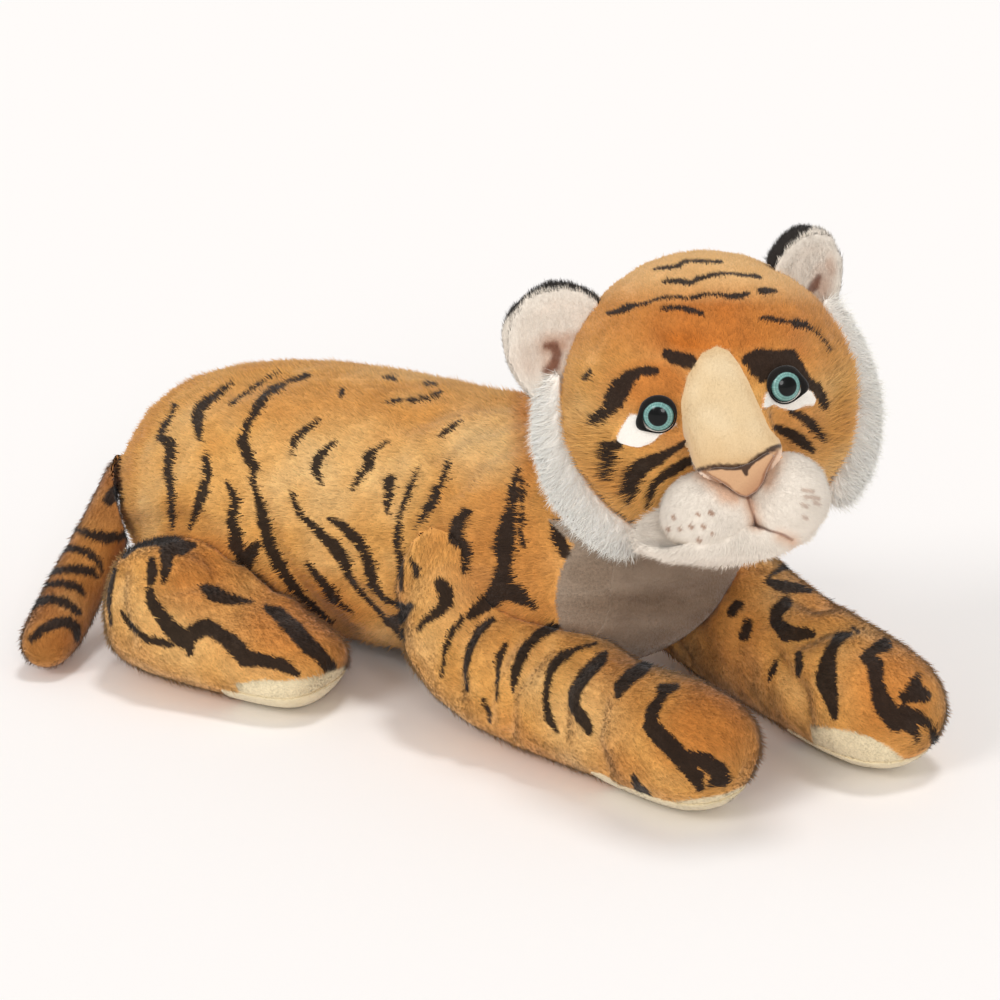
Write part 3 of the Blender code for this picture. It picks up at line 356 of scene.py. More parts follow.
def inwards(pixels, outline):
    """Pixels from each point to an outline, above zero inside it."""
    across, down = pixels[:, 0], pixels[:, 1]
    inside = np.zeros(len(pixels), bool)
    closed = (*outline, outline[0])
    for (ax, ay), (bx, by) in zip(closed, closed[1:]):
        if ay != by:
            crosses = (ay > down) != (by > down)
            inside ^= crosses & (across < (bx - ax) * (down - ay) / (by - ay) + ax)
    rim = beside(pixels, (tuple((x, y, 0) for x, y in closed),))
    return np.where(inside, rim, -rim)


def patches(pixels, spots):
    """How much of each point lies in soft round patches, from 0 to 1."""
    amount = np.zeros(len(pixels))
    for across, down, wide, high, full in spots:
        far = np.hypot((pixels[:, 0] - across) / wide, (pixels[:, 1] - down) / high)
        amount = np.maximum(amount, full * np.clip(1.5 - far, 0, 1))
    return amount


def mixed(colour, other, amount):
    """Colours moved towards another colour by an amount for each point."""
    return colour + (linear(other) - colour) * np.clip(amount, 0, 1)[:, None]


STRIPE_FULLER = 0.9


def golden(points, pixels, deep, jitter, seed):
    """Golden pile: pale and deep patches that run into each other."""
    colour = np.tile(linear(GOLD), (len(points), 1))
    soft = drift(points, 42 * MM, seed) * 0.6 + drift(points, 17 * MM, seed + 1) * 0.4
    colour = mixed(colour, GOLD_PALE, np.clip(soft, 0, 1) * 0.7)
    colour = mixed(colour, GOLD_DEEP, np.clip(-soft, 0, 1) * 0.8)
    colour = mixed(colour, RUST, patches(pixels, deep) * (0.8 + 0.3 * soft))
    # On the body's side, the lighter gold patches are painted highlights.
    if deep is SIDE_DEEP:
        colour = mixed(colour, GOLD_PALE, patches(pixels, SIDE_HIGHLIGHTS) * (0.8 + 0.3 * soft))
    tuft = 0.10 * jitter + 0.13 * drift(points, 5 * MM, seed + 2)
    return colour * (1 + tuft)[:, None]


def striped(colour, points, pixels, stripes, jitter, ragged):
    """Black stripes laid over a colour, with edges as ragged as the hairs there."""
    warp = (drift(points, 8 * MM, 3) * 1.5 + drift(points, 3 * MM, 4) * 0.9) * min(1, ragged + 0.2)
    gap = beside(pixels, stripes) - STRIPE_FULLER + warp + jitter * ragged
    return mixed(colour, BLACK, 0.97 * np.clip(0.5 - gap, 0, 1))


def edged(colour, pixels, outline, other, jitter, amount=1.0):
    """Another colour inside an outline, with an edge as soft as the pile."""
    return mixed(colour, other, amount * np.clip(inwards(pixels, outline) * 0.7 + 0.5 + 0.5 * jitter, 0, 1))


def mirrored(points):
    """The places opposite these on the body's other side."""
    seen = np.array(points)
    seen[:, 0] = 2 * BODY_MIDDLE - seen[:, 0]
    return seen


def body_coat(points, normals, jitter, ragged):
    """Coat of the torso. The side that the photograph doesn't show mirrors the near one."""
    seen = np.array(points)
    hidden = (normals @ CAMERA_BACK < -0.02) & (seen[:, 0] > BODY_MIDDLE)
    seen[hidden] = mirrored(seen[hidden])
    pixels = pixel_of(seen)
    colour = golden(points, pixels, SIDE_DEEP, jitter, 1)
    colour = striped(colour, points, pixels, SIDE_STRIPES, jitter, ragged)
    chest = (points[:, 1] < -0.2) & (normals @ CAMERA_BACK > 0)
    colour = edged(colour, pixels, BIB_OUTLINE, BIB, jitter, chest)
    # Painted shade on the torso's part of the bib, under the chin and in its folds.
    return mixed(colour, BIB_SHADE, patches(pixels, BIB_SHADOWS) * chest * (inwards(pixels, BIB_OUTLINE) > 0))


def leg_coat(stripes, sole, far=False):
    """A golden leg's coat, with its stripes and its sole's outline. A far leg mirrors the near one."""

    def coat(points, normals, jitter, ragged):
        pixels = pixel_of(mirrored(points) if far else points)
        colour = golden(points, pixels, SIDE_DEEP, jitter, 1)
        colour = striped(colour, points, pixels, stripes, jitter, ragged)
        return edged(colour, pixels, sole, SOLE, jitter)

    return coat


def far_leg_coat(points, normals, jitter, ragged):
    """Coat of the far front leg. Its outer side mirrors the near leg."""
    pixels = pixel_of(points)
    colour = golden(points, pixels, FAR_LEG_DEEP, jitter, 5)
    colour = striped(colour, points, pixels, FAR_LEG_STRIPES, jitter, ragged)
    colour = edged(colour, pixels, FAR_SOLE, SOLE, jitter)
    pixels = pixel_of(mirrored(points))
    outer = golden(points, pixels, SIDE_DEEP, jitter, 5)
    outer = striped(outer, points, pixels, SIDE_STRIPES, jitter, ragged)
    return np.where((normals @ CAMERA_BACK < -0.05)[:, None], outer, colour)


def tail_coat(points, normals, jitter, ragged):
    """Coat of the tail: darker than the body."""
    pixels = pixel_of(points)
    colour = golden(points, pixels, (), jitter, 7)
    colour = mixed(colour, TAIL_BROWN, 0.75 + 0.2 * drift(points, 20 * MM, 8))
    return striped(colour, points, pixels, TAIL_STRIPES, jitter, ragged)


def head_coat(points, normals, jitter, ragged):
    """Coat of the head, front and nape."""
    local = (np.asarray(points) - np.array(HEAD_CENTRE)) @ HEAD_AXES
    pixels = pixel_of(points)
    behind = local[:, 1] > 12 * MM
    colour = golden(points, pixels, FACE_DEEP, jitter, 9)
    plain = golden(points, pixels, (), jitter, 9)
    fade = np.clip((local[:, 1] + 10 * MM) / (40 * MM), 0, 1)[:, None]
    colour = colour + (plain - colour) * fade
    # Painted highlight: paler towards the top of the head, where light falls on the crown.
    crown = np.clip((306 - pixels[:, 1]) / 28, 0, 1) * np.clip((50 * MM - local[:, 1]) / (40 * MM), 0, 1)
    colour = mixed(colour, CROWN_HIGHLIGHT, 0.6 * crown)
    face = striped(colour, points, pixels, FACE_STRIPES, jitter, ragged)
    snout = snout_coat(points, normals, jitter, ragged)
    face = face + (snout - face) * np.clip(inwards(pixels, SNOUT_OUTLINE) + 1, 0, 1)[:, None]
    face = edged(face, pixels, NEAR_WHITE, WHITE, jitter)
    face = edged(face, pixels, FAR_WHITE, WHITE, jitter)
    nape = striped(colour, points, pixels, NAPE_STRIPES, jitter, ragged)
    return np.where(behind[:, None], nape, face)


def plain_coat(text, vary=0.05):
    """A coat of one colour."""

    def coat(points, normals, jitter, ragged):
        colour = np.tile(linear(text), (len(points), 1))
        return colour * (1 + vary * 0.6 * drift(points, 12 * MM, 2) + vary * jitter)[:, None]

    return coat


def deselect():
    """Nothing is selected afterwards."""
    if bpy.context.object and bpy.context.object.mode != "OBJECT":
        bpy.ops.object.mode_set(mode="OBJECT")
    bpy.ops.object.select_all(action="DESELECT")


def take(piece):
    """One piece is selected and active."""
    deselect()
    piece.select_set(True)
    bpy.context.view_layer.objects.active = piece
    return piece


def edit_all(piece):
    """Edit mode with the whole piece selected."""
    take(piece)
    bpy.ops.object.mode_set(mode="EDIT")
    bpy.ops.mesh.select_all(action="SELECT")


def leave_edit():
    bpy.ops.object.mode_set(mode="OBJECT")


def apply_modifier(piece, modifier):
    take(piece)
    bpy.ops.object.modifier_apply(modifier=modifier.name)


def divided(piece, levels=1):
    """Divides a piece's faces into smaller, smoother ones."""
    finer = piece.modifiers.new("finer", "SUBSURF")
    finer.levels = finer.render_levels = levels
    apply_modifier(piece, finer)


def relaxed(piece, rounds):
    """Smooths a piece's form."""
    relax = piece.modifiers.new("relax", "SMOOTH")
    relax.factor = 0.5
    relax.iterations = rounds
    apply_modifier(piece, relax)


def thickened(piece, thickness, offset):
    """Gives an open panel its thickness."""
    wall = piece.modifiers.new("wall", "SOLIDIFY")
    wall.thickness = thickness
    wall.offset = offset
    apply_modifier(piece, wall)
    take(piece)


def corners(piece):
    """The places of a piece's points, one row each."""
    places = np.empty(len(piece.data.vertices) * 3)
    piece.data.vertices.foreach_get("co", places)
    return places.reshape(-1, 3)


def normals_of(piece):
    """The directions of a piece's points, one row each."""
    ways = np.empty(len(piece.data.vertices) * 3)
    piece.data.vertices.foreach_get("normal", ways)
    return ways.reshape(-1, 3)


def put(piece, places):
    """Moves a piece's points to these places."""
    piece.data.vertices.foreach_set("co", np.ascontiguousarray(places).ravel())
    piece.data.update()


def cut_from(name, *nodes):
    """A piece cut to the shape of the model's nodes, joined."""
    copies = []
    for node in nodes:
        copy = bpy.data.objects.new(name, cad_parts[node].data.copy())
        copy.data.materials.clear()
        SCENE.collection.objects.link(copy)
        copies.append(copy)
    take(copies[0])
    for copy in copies:
        copy.select_set(True)
    if len(copies) > 1:
        bpy.ops.object.join()
    piece = bpy.context.object
    piece.name = name
    piece.data.name = name
    edit_all(piece)
    bpy.ops.mesh.remove_doubles(threshold=0.01 * MM)
    leave_edit()
    return piece


def keep_largest(piece):
    """Drops all but the part of a mesh with the most points."""
    mesh = bmesh.new()
    mesh.from_mesh(piece.data)
    left = set(mesh.verts)
    largest = set()
    while left:
        found = {left.pop()}
        rim = list(found)
        while rim:
            for edge in rim.pop().link_edges:
                for point in edge.verts:
                    if point not in found:
                        found.add(point)
                        rim.append(point)
        left -= found
        if len(found) > len(largest):
            largest = found
    bmesh.ops.delete(mesh, geom=[p for p in mesh.verts if p not in largest], context="VERTS")
    mesh.to_mesh(piece.data)
    mesh.free()


def rounded(piece, voxel, smooth, inset, levels=0):
    """A stuffed form: remeshed evenly, smoothed and drawn in."""
    remesh = piece.modifiers.new("even", "REMESH")
    remesh.mode = "VOXEL"
    remesh.voxel_size = voxel
    apply_modifier(piece, remesh)
    keep_largest(piece)
    relaxed(piece, smooth)
    if inset:
        put(piece, corners(piece) - normals_of(piece) * inset)
    if levels:
        divided(piece, levels)
    take(piece)
    bpy.ops.object.shade_smooth()
    return piece


SWELL_FRAMES = 16
SWELL_PRESSURE = 4


def stuffed(piece, cap):
    """Lets the stuffing swell the cover, no further than the cap."""
    before = corners(piece)
    cloth = piece.modifiers.new("cover", "CLOTH")
    cloth.settings.use_pressure = True
    cloth.settings.uniform_pressure_force = SWELL_PRESSURE
    cloth.settings.effector_weights.gravity = 0
    cloth.settings.quality = 3
    cloth.collision_settings.use_collision = False
    for step in range(1, SWELL_FRAMES + 1):
        SCENE.frame_set(step)
    apply_modifier(piece, cloth)
    SCENE.frame_set(1)
    moved = corners(piece) - before
    far = np.linalg.norm(moved, axis=1)
    moved *= np.minimum(1, cap / np.maximum(far, 1e-9))[:, None]
    put(piece, before + moved)
    return piece


def creased(piece, lines, depth, reach):
    """Folds along lines seen in the photograph, on the side that it shows."""
    places = corners(piece)
    normals = normals_of(piece)
    gap = np.maximum(beside(pixel_of(places), lines), 0)
    amount = np.exp(-((gap / reach) ** 2)) * np.clip(normals @ CAMERA_BACK * 3, 0, 1)
    bank = np.exp(-(((gap - 2.2 * reach) / reach) ** 2)) * 0.2
    bank *= np.clip(normals @ CAMERA_BACK * 3, 0, 1)
    put(piece, places - normals * ((amount - bank) * depth)[:, None])


FOOT_FROM, FOOT_TO, FOOT_LOWER = 15 * MM, -70 * MM, 0.27


def flattened(skin):
    """Draws the top of a hind foot down in front of the haunch."""
    places = corners(skin)
    share = np.clip((FOOT_FROM - places[:, 1]) / (FOOT_FROM - FOOT_TO), 0, 1)
    share = share * share * (3 - 2 * share)
    places[:, 2] *= 1 - FOOT_LOWER * share
    put(skin, places)


def resized(piece, factors, shift=(0, 0, 0), anchor=(0, 0, 0)):
    """Scales a face piece along the head's axes, about its middle or a side of it."""
    local = (corners(piece) - np.array(HEAD_CENTRE)) @ HEAD_AXES
    low, high = local.min(0), local.max(0)
    still = (low + high) / 2 + (high - low) / 2 * np.array(anchor)
    local = still + (local - still) * np.array(factors) + np.array(shift) * MM
    put(piece, np.array(HEAD_CENTRE) + local @ HEAD_AXES.T)


def slanted(piece, slope):
    """Raises a face piece towards the near side of the head."""
    local = (corners(piece) - np.array(HEAD_CENTRE)) @ HEAD_AXES
    local[:, 2] += slope * (local[:, 0].max() - local[:, 0])
    put(piece, np.array(HEAD_CENTRE) + local @ HEAD_AXES.T)


def nearest_on(pixels, outline):
    """The nearest place on an outline to each pixel."""
    closed = (*outline, outline[0])
    best = np.full(len(pixels), 1e9)
    found = np.array(pixels)
    for (ax, ay), (bx, by) in zip(closed, closed[1:]):
        run = np.array((bx - ax, by - ay), float)
        share = np.clip((pixels - (ax, ay)) @ run / max(run @ run, 1e-9), 0, 1)
        spot = np.array((ax, ay)) + share[:, None] * run
        far = np.linalg.norm(pixels - spot, axis=1)
        nearer = far < best
        best[nearer] = far[nearer]
        found[nearer] = spot[nearer]
    return found


PANEL_ROUNDS = 8


def trimmed(piece, outline):
    """Draws a form in to an outline of the photograph."""
    places = corners(piece)
    pixels = pixel_of(places)
    move = nearest_on(pixels, outline) - pixels
    move[inwards(pixels, outline) > 0] = 0
    depth = ((CAMERA_PLACE - places) @ CAMERA_BACK / FOCAL_PIXELS)[:, None]
    put(piece, places + (CAMERA_RIGHT * move[:, :1] - CAMERA_UP * move[:, 1:]) * depth)


def panel_from(name, mesh):
    """A new piece of what is left of a mesh."""
    panel = bpy.data.objects.new(name, bpy.data.meshes.new(name))
    mesh.to_mesh(panel.data)
    mesh.free()
    SCENE.collection.objects.link(panel)
    keep_largest(panel)
    return panel


def outline_panel(name, skin, outline, thickness, lift):
    """The part of a skin inside an outline of the photograph, as a panel sewn on it."""
    places, normals = corners(skin), normals_of(skin)
    keep = (inwards(pixel_of(places), outline) > -1) & (normals @ CAMERA_BACK > -0.1)
    mesh = bmesh.new()
    mesh.from_mesh(skin.data)
    mesh.verts.ensure_lookup_table()
    bmesh.ops.delete(mesh, geom=[p for p in mesh.verts if not keep[p.index]], context="VERTS")
    panel = panel_from(name, mesh)
    mesh = bmesh.new()
    mesh.from_mesh(panel.data)
    rim = np.array([any(edge.is_boundary for edge in point.link_edges) for point in mesh.verts])
    mesh.free()
    places = corners(panel)
    pixels = pixel_of(places)
    move = nearest_on(pixels, outline) - pixels
    depth = ((CAMERA_PLACE - places) @ CAMERA_BACK / FOCAL_PIXELS)[:, None]
    shifted = places + (CAMERA_RIGHT * move[:, :1] - CAMERA_UP * move[:, 1:]) * depth
    places[rim] = shifted[rim]
    tree = BVHTree.FromPolygons(*shape_of(skin))
    for i in np.flatnonzero(rim):
        places[i] = tree.find_nearest(Vector(places[i]))[0]
    put(panel, places)
    mesh = bmesh.new()
    mesh.from_mesh(panel.data)
    inner = [point for point, edge in zip(mesh.verts, rim) if not edge]
    for _ in range(PANEL_ROUNDS):
        bmesh.ops.smooth_vert(mesh, verts=inner, factor=0.5, use_axis_x=True, use_axis_y=True, use_axis_z=True)
    mesh.to_mesh(panel.data)
    mesh.free()
    divided(panel)
    put(panel, corners(panel) + normals_of(panel) * lift)
    thickened(panel, thickness, -1)
    bpy.ops.object.shade_smooth_by_angle(angle=math.radians(50))
    return panel


SEAM_REACH = 7 * MM


def eased_into(skin, other, reach, low, high):
    """Lowers a limb's root, so that it rises gently from the body that it is sewn to."""
    tree = BVHTree.FromPolygons(*shape_of(other))
    places = corners(skin)
    feet = np.empty_like(places)
    heights = np.empty(len(places))
    for i, place in enumerate(places):
        foot, way, _, far = tree.find_nearest(Vector(place))
        feet[i] = foot
        heights[i] = (Vector(place) - foot).dot(way)
    seam = KDTree(len(places))
    for i in np.flatnonzero(np.abs(heights) < SEAM_REACH):
        seam.insert(places[i], i)
    seam.balance()
    far = np.array([seam.find(place)[2] for place in places])
    ease = np.clip(far / reach, 0, 1)
    ease = ease * ease * (3 - 2 * ease)
    amount = (1 - ease) * np.clip((places[:, 2] - low) / (high - low), 0, 1) * (heights > 0)
    put(skin, places + (feet - places) * amount[:, None])


def panel_of(name, skin, node, others, thickness, lift=0.0):
    """The part of a skin that lies nearest to one node, as a sewn panel on it."""
    tree = BVHTree.FromPolygons(*node_shape(node))
    rest = [BVHTree.FromPolygons(*node_shape(other)) for other in others]
    mesh = bmesh.new()
    mesh.from_mesh(skin.data)
    away = []
    for face in mesh.faces:
        middle = face.calc_center_median()
        own = tree.find_nearest(middle)[3]
        if any(own > other.find_nearest(middle)[3] for other in rest):
            away.append(face)
    bmesh.ops.delete(mesh, geom=away, context="FACES")
    panel = panel_from(name, mesh)
    relaxed(panel, 4)
    put(panel, corners(panel) + normals_of(panel) * lift)
    thickened(panel, thickness, 0)
    bpy.ops.object.shade_smooth()
    return panel


def node_shape(node):
    return shape_of(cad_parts[node])


def paint(piece, coat):
    """Writes a coat's colours to a piece's points."""
    places = corners(piece)
    colour = coat(places, normals_of(piece), np.zeros(len(places)), 0)
    layer = piece.data.color_attributes.new("coat", "FLOAT_COLOR", "POINT")
    rows = np.ones((len(places), 4))
    rows[:, :3] = np.clip(colour, 0, 1)
    layer.data.foreach_set("color", rows.ravel())


# Directions in which the pile lies
def lie_body(roots, normals):
    way = np.tile((0.0, 1.0, -0.22), (len(roots), 1))
    way[:, 2] += 0.25 * drift(roots, 60 * MM, 11)
    return way


def lie_front_leg(roots, normals):
    way = np.tile((0.0, -1.0, -0.15), (len(roots), 1))
    high = np.clip((roots[:, 2] - 90 * MM) / (60 * MM), 0, 1)
    way[:, 2] -= 1.6 * high
    way[:, 1] += 0.6 * high
    return way


def lie_hind_leg(roots, normals):
    way = np.tile((0.0, -1.0, -0.25), (len(roots), 1))
    return way


TAIL_LINE = np.array(
    (
        (-0.02, 0.19, 0.10),
        (-0.075, 0.165, 0.105),
        (-0.10, 0.145, 0.095),
        (-0.145, 0.12, 0.06),
        (-0.19, 0.10, 0.035),
        (-0.225, 0.07, 0.026),
    )
)


def lie_tail(roots, normals):
    middles = (TAIL_LINE[1:] + TAIL_LINE[:-1]) / 2
    runs = TAIL_LINE[1:] - TAIL_LINE[:-1]
    far = np.linalg.norm(roots[:, None] - middles[None], axis=2)
    weight = np.exp(-((far / (40 * MM)) ** 2)) + 1e-9
    return (weight[:, :, None] * runs[None]).sum(1)


def lie_head(roots, normals):
    local = (roots - np.array(HEAD_CENTRE)) @ HEAD_AXES
    way = local - np.array((0, -115, -30)) * MM
    way[:, 1] *= 0.6
    return way @ HEAD_AXES.T


def lie_ruff(roots, normals):
    local = (roots - np.array(HEAD_CENTRE)) @ HEAD_AXES
    way = np.stack([local[:, 0] * 0.8, np.full(len(local), 40 * MM), local[:, 2] * 0.4 - 50 * MM], 1)
    return way @ HEAD_AXES.T


def lie_bridge(roots, normals):
    return np.tile(HEAD_AXES @ np.array((0, 0.2, 1.0)), (len(roots), 1))


def lie_ear(roots, normals):
    return np.tile(HEAD_AXES @ np.array((0, -0.1, 1.0)), (len(roots), 1))


def unit(rows):
    return rows / np.maximum(np.linalg.norm(rows, axis=1), 1e-12)[:, None]


def triangles_of(piece):
    """Corner places, corner normals and areas of a piece's triangles."""
    piece.data.calc_loop_triangles()
    rows = np.empty(len(piece.data.loop_triangles) * 3, np.int64)
    piece.data.loop_triangles.foreach_get("vertices", rows)
    rows = rows.reshape(-1, 3)
    places = corners(piece)[rows]
    normals = normals_of(piece)[rows]
    cross = np.cross(places[:, 1] - places[:, 0], places[:, 2] - places[:, 0])
    return places, normals, np.linalg.norm(cross, axis=1) / 2


COVERED = 2 * MM
FACE_WAY = HEAD_AXES @ np.array((0, -0.93, 0.37))
SLIVER_FLAT = 0.32
SLIVER_RING = [math.radians(angle) for angle in (90, 210, 330)]
# Hair tips are painted lighter, as painted light on them.
TIP_LIGHT = 1.1
ROOT_SUNK = 0.8 * MM
UNDER_RIM = 4 * MM
ABOVE_FLOOR = 0.6 * MM
RAY_STEP = 0.05 * MM


def shape_of(piece):
    return [v.co.copy() for v in piece.data.vertices], [tuple(p.vertices) for p in piece.data.polygons]


class Neighbour:
    """A closed form that pile can be hidden by."""

    def __init__(self, piece):
        points, faces = shape_of(piece)
        self.tree = BVHTree.FromPolygons(points, faces)
        rows = np.array(points)
        self.low, self.high = rows.min(0), rows.max(0)

    def holds(self, point):
        """True for a point inside the form."""
        if (point < self.low).any() or (point > self.high).any():
            return False
        start, way, hits = Vector(point), Vector((0.31, 0.17, 0.93)), 0
        while True:
            place = self.tree.ray_cast(start, way)[0]
            if place is None:
                return hits % 2 == 1
            hits += 1
            start = place + way * RAY_STEP


def covered(points, normals, neighbours_near, cover):
    """Which points lie under a neighbouring piece, where no pile can grow."""
    probes = points + normals * cover
    return np.array([any(near.holds(probe) for near in neighbours_near) for probe in probes], bool)


def pile(
    name,
    skin,
    coat,
    lie,
    density,
    length,
    width,
    lean,
    seed,
    trees=(),
    where=None,
    vary=0.2,
    spread=0.22,
    ragged=1.3,
    shade=0.74,
    shorter=None,
    split_at=48000,
    cover=COVERED,
    under=(),
    fuller=0.0,
):
    """Hairs of a pile as closed slivers: density in hairs a square millimetre, lean in degrees from the skin."""
    draw = np.random.default_rng(seed)
    places, normals, areas = triangles_of(skin)
    middles = places.mean(1)
    ways = unit(normals.mean(1))
    areas = areas.copy()
    if where is not None:
        areas *= where(middles, ways)
    for near, depth in ((trees, cover), (under, UNDER_RIM)):
        if near:
            live = areas > 0
            hidden = np.zeros(len(areas), bool)
            hidden[live] = covered(middles[live], ways[live], near, depth)
            areas[hidden] = 0
    low = middles[:, 2] < 12 * MM
    areas[ways[:, 2] < -0.5] *= 0.5
    areas[low & (ways[:, 2] < -0.5)] *= 0.5
    count = int(areas.sum() * density / MM**2)
    steps = np.cumsum(areas) / areas.sum()
    picks = (np.arange(count) + draw.random(count)) / count
    chosen = np.minimum(np.searchsorted(steps, picks), len(areas) - 1)
    u, v = draw.random(count), draw.random(count)
    flip = u + v > 1
    u[flip], v[flip] = 1 - u[flip], 1 - v[flip]
    share = np.stack([1 - u - v, u, v], 1)[:, :, None]
    roots = (places[chosen] * share).sum(1)
    up = unit((normals[chosen] * share).sum(1))

    way = unit(lie(roots, up))
    way = unit(way - up * (way * up).sum(1)[:, None])
    side = np.cross(up, way)
    turn = spread * draw.normal(size=count) + 0.5 * spread * drift(roots, 9 * MM, seed)
    turn += 0.6 * spread * drift(roots, 30 * MM, seed + 1)
    way = way * np.cos(turn)[:, None] + side * np.sin(turn)[:, None]
    rise = math.radians(lean) * (1 + 0.30 * draw.normal(size=count) + 0.45 * drift(roots, 10 * MM, seed + 2))
    rise = np.clip(rise, math.radians(4), math.radians(85))
    axis = way * np.cos(rise)[:, None] + up * np.sin(rise)[:, None]
    long = length * (1 + vary * draw.normal(size=count).clip(-2, 2) + 0.2 * drift(roots, 12 * MM, seed + 3))
    if shorter is not None:
        long = long * shorter(roots)
    axis[:, 2] = np.maximum(axis[:, 2], (ABOVE_FLOOR - roots[:, 2]) / long)
    axis = unit(axis)
    side = unit(np.cross(axis, up))
    flat = np.cross(axis, side)
    roots = roots - up * np.minimum(ROOT_SUNK, 0.12 * long)[:, None]

    jitter = draw.normal(size=count).clip(-2, 2)
    tone = coat(roots + axis * (long * 0.6)[:, None], up, jitter, ragged)
    half = (width / 2) * (1 + 0.25 * draw.normal(size=count).clip(-1.5, 1.5))
    rows = [
        roots + side * (half * math.cos(angle))[:, None] + flat * (half * SLIVER_FLAT * math.sin(angle))[:, None]
        for angle in SLIVER_RING
    ]
    rows.append(roots + axis * long[:, None])
    # Painted shade and light: each hair is darker at its root, for the shade deep in the pile, and lighter at its tip,
    # for the light on it.
    shades = (shade, shade, shade, TIP_LIGHT)
    order = np.argsort(roots @ np.array((0.3, 1.0, 0.1)))
    made = []
    parts = max(1, math.ceil(count / split_at))
    for part, chosen in enumerate(np.array_split(order, parts)):
        made.append(
            sliver_mesh(
                name if parts == 1 else f"{name}_{part + 1}",
                [row[chosen] for row in rows],
                tone[chosen],
                shades,
                unit(up + FACE_WAY * fuller)[chosen],
            )
        )
    return made


def sliver_mesh(name, rows, tone, shades, up):
    """One mesh of all slivers, with a cell of the colour sheet for each."""
    count, per = len(tone), len(rows)
    points = np.stack(rows, 1).reshape(-1, 3)
    faces = np.array([(0, 2, 1), (0, 1, 3), (1, 2, 3), (2, 0, 3)])
    loops = (faces[None] + per * np.arange(count)[:, None, None]).reshape(-1)
    data = bpy.data.meshes.new(name)
    data.vertices.add(len(points))
    data.vertices.foreach_set("co", points.ravel())
    data.loops.add(len(loops))
    data.loops.foreach_set("vertex_index", loops.astype(np.int32))
    total = count * len(faces)
    data.polygons.add(total)
    data.polygons.foreach_set("loop_start", np.arange(total, dtype=np.int32) * 3)
    data.polygons.foreach_set("use_smooth", np.ones(total, bool))
    data.update(calc_edges=True)

    colour = np.ones((count, per, 4))
    colour[:, :, :3] = tone[:, None, :] * np.array(shades)[None, :, None]
    layer = data.color_attributes.new("coat", "FLOAT_COLOR", "POINT")
    layer.data.foreach_set("color", np.clip(colour, 0, 1).ravel())

    rank = np.empty(count, int)
    rank[np.argsort(tone @ np.array((0.3, 0.6, 0.1)))] = np.arange(count)
    cells = math.ceil(math.sqrt(count))
    left, low = (rank % cells) / cells, (rank // cells) / cells
    spots = np.array(((0.25, 0.15), (0.5, 0.15), (0.75, 0.15), (0.5, 0.85)))
    sheet = np.stack(
        [left[:, None] + spots[None, :, 0] / cells, low[:, None] + spots[None, :, 1] / cells], 2
    ).reshape(-1, 2)
    uv = data.uv_layers.new(name="OFBake")
    uv.data.foreach_set("uv", sheet[loops].ravel())

    around = unit(points - np.repeat(points.reshape(count, per, 3).mean(1), per, axis=0))
    shown = unit(around * 0.25 + np.repeat(up, per, axis=0))
    data.normals_split_custom_set_from_vertices(shown)
    hairs = bpy.data.objects.new(name, data)
    SCENE.collection.objects.link(hairs)
    return hairs


# Materials
def node_group(name, inputs, outputs):
    """An empty shader node group with named sockets."""
    group = bpy.data.node_groups.new(name, "ShaderNodeTree")
    for label, kind, value in inputs:
        socket = group.interface.new_socket(label, in_out="INPUT", socket_type=kind)
        if value is not None:
            socket.default_value = value
    for label, kind in outputs:
        group.interface.new_socket(label, in_out="OUTPUT", socket_type=kind)
    return group, group.nodes.new("NodeGroupInput"), group.nodes.new("NodeGroupOutput")


def nap_group():
    """Soft light and dark streaks over a colour, and their height."""
    group, given, made = node_group(
        "nap",
        (
            ("Colour", "NodeSocketColor", (1, 1, 1, 1)),
            ("Tuft Scale", "NodeSocketFloat", 260.0),
            ("Contrast", "NodeSocketFloat", 0.2),
        ),
        (("Colour", "NodeSocketColor"), ("Height", "NodeSocketFloat")),
    )
    nodes, links = group.nodes, group.links
    place = nodes.new("ShaderNodeTexCoord")
    tufts = nodes.new("ShaderNodeTexNoise")
    tufts.inputs["Detail"].default_value = 4
    links.new(place.outputs["Object"], tufts.inputs["Vector"])
    links.new(given.outputs["Tuft Scale"], tufts.inputs["Scale"])
    swing = nodes.new("ShaderNodeMath")
    swing.operation = "SUBTRACT"
    links.new(tufts.outputs["Fac"], swing.inputs[0])
    swing.inputs[1].default_value = 0.5
    amount = nodes.new("ShaderNodeMath")
    amount.operation = "MULTIPLY_ADD"
    links.new(swing.outputs[0], amount.inputs[0])
    links.new(given.outputs["Contrast"], amount.inputs[1])
    amount.inputs[2].default_value = 1
    tint = nodes.new("ShaderNodeVectorMath")
    tint.operation = "SCALE"
    links.new(given.outputs["Colour"], tint.inputs[0])
    links.new(amount.outputs[0], tint.inputs["Scale"])
    links.new(tint.outputs[0], made.inputs["Colour"])
    links.new(tufts.outputs["Fac"], made.inputs["Height"])
    return group


NAP = nap_group()


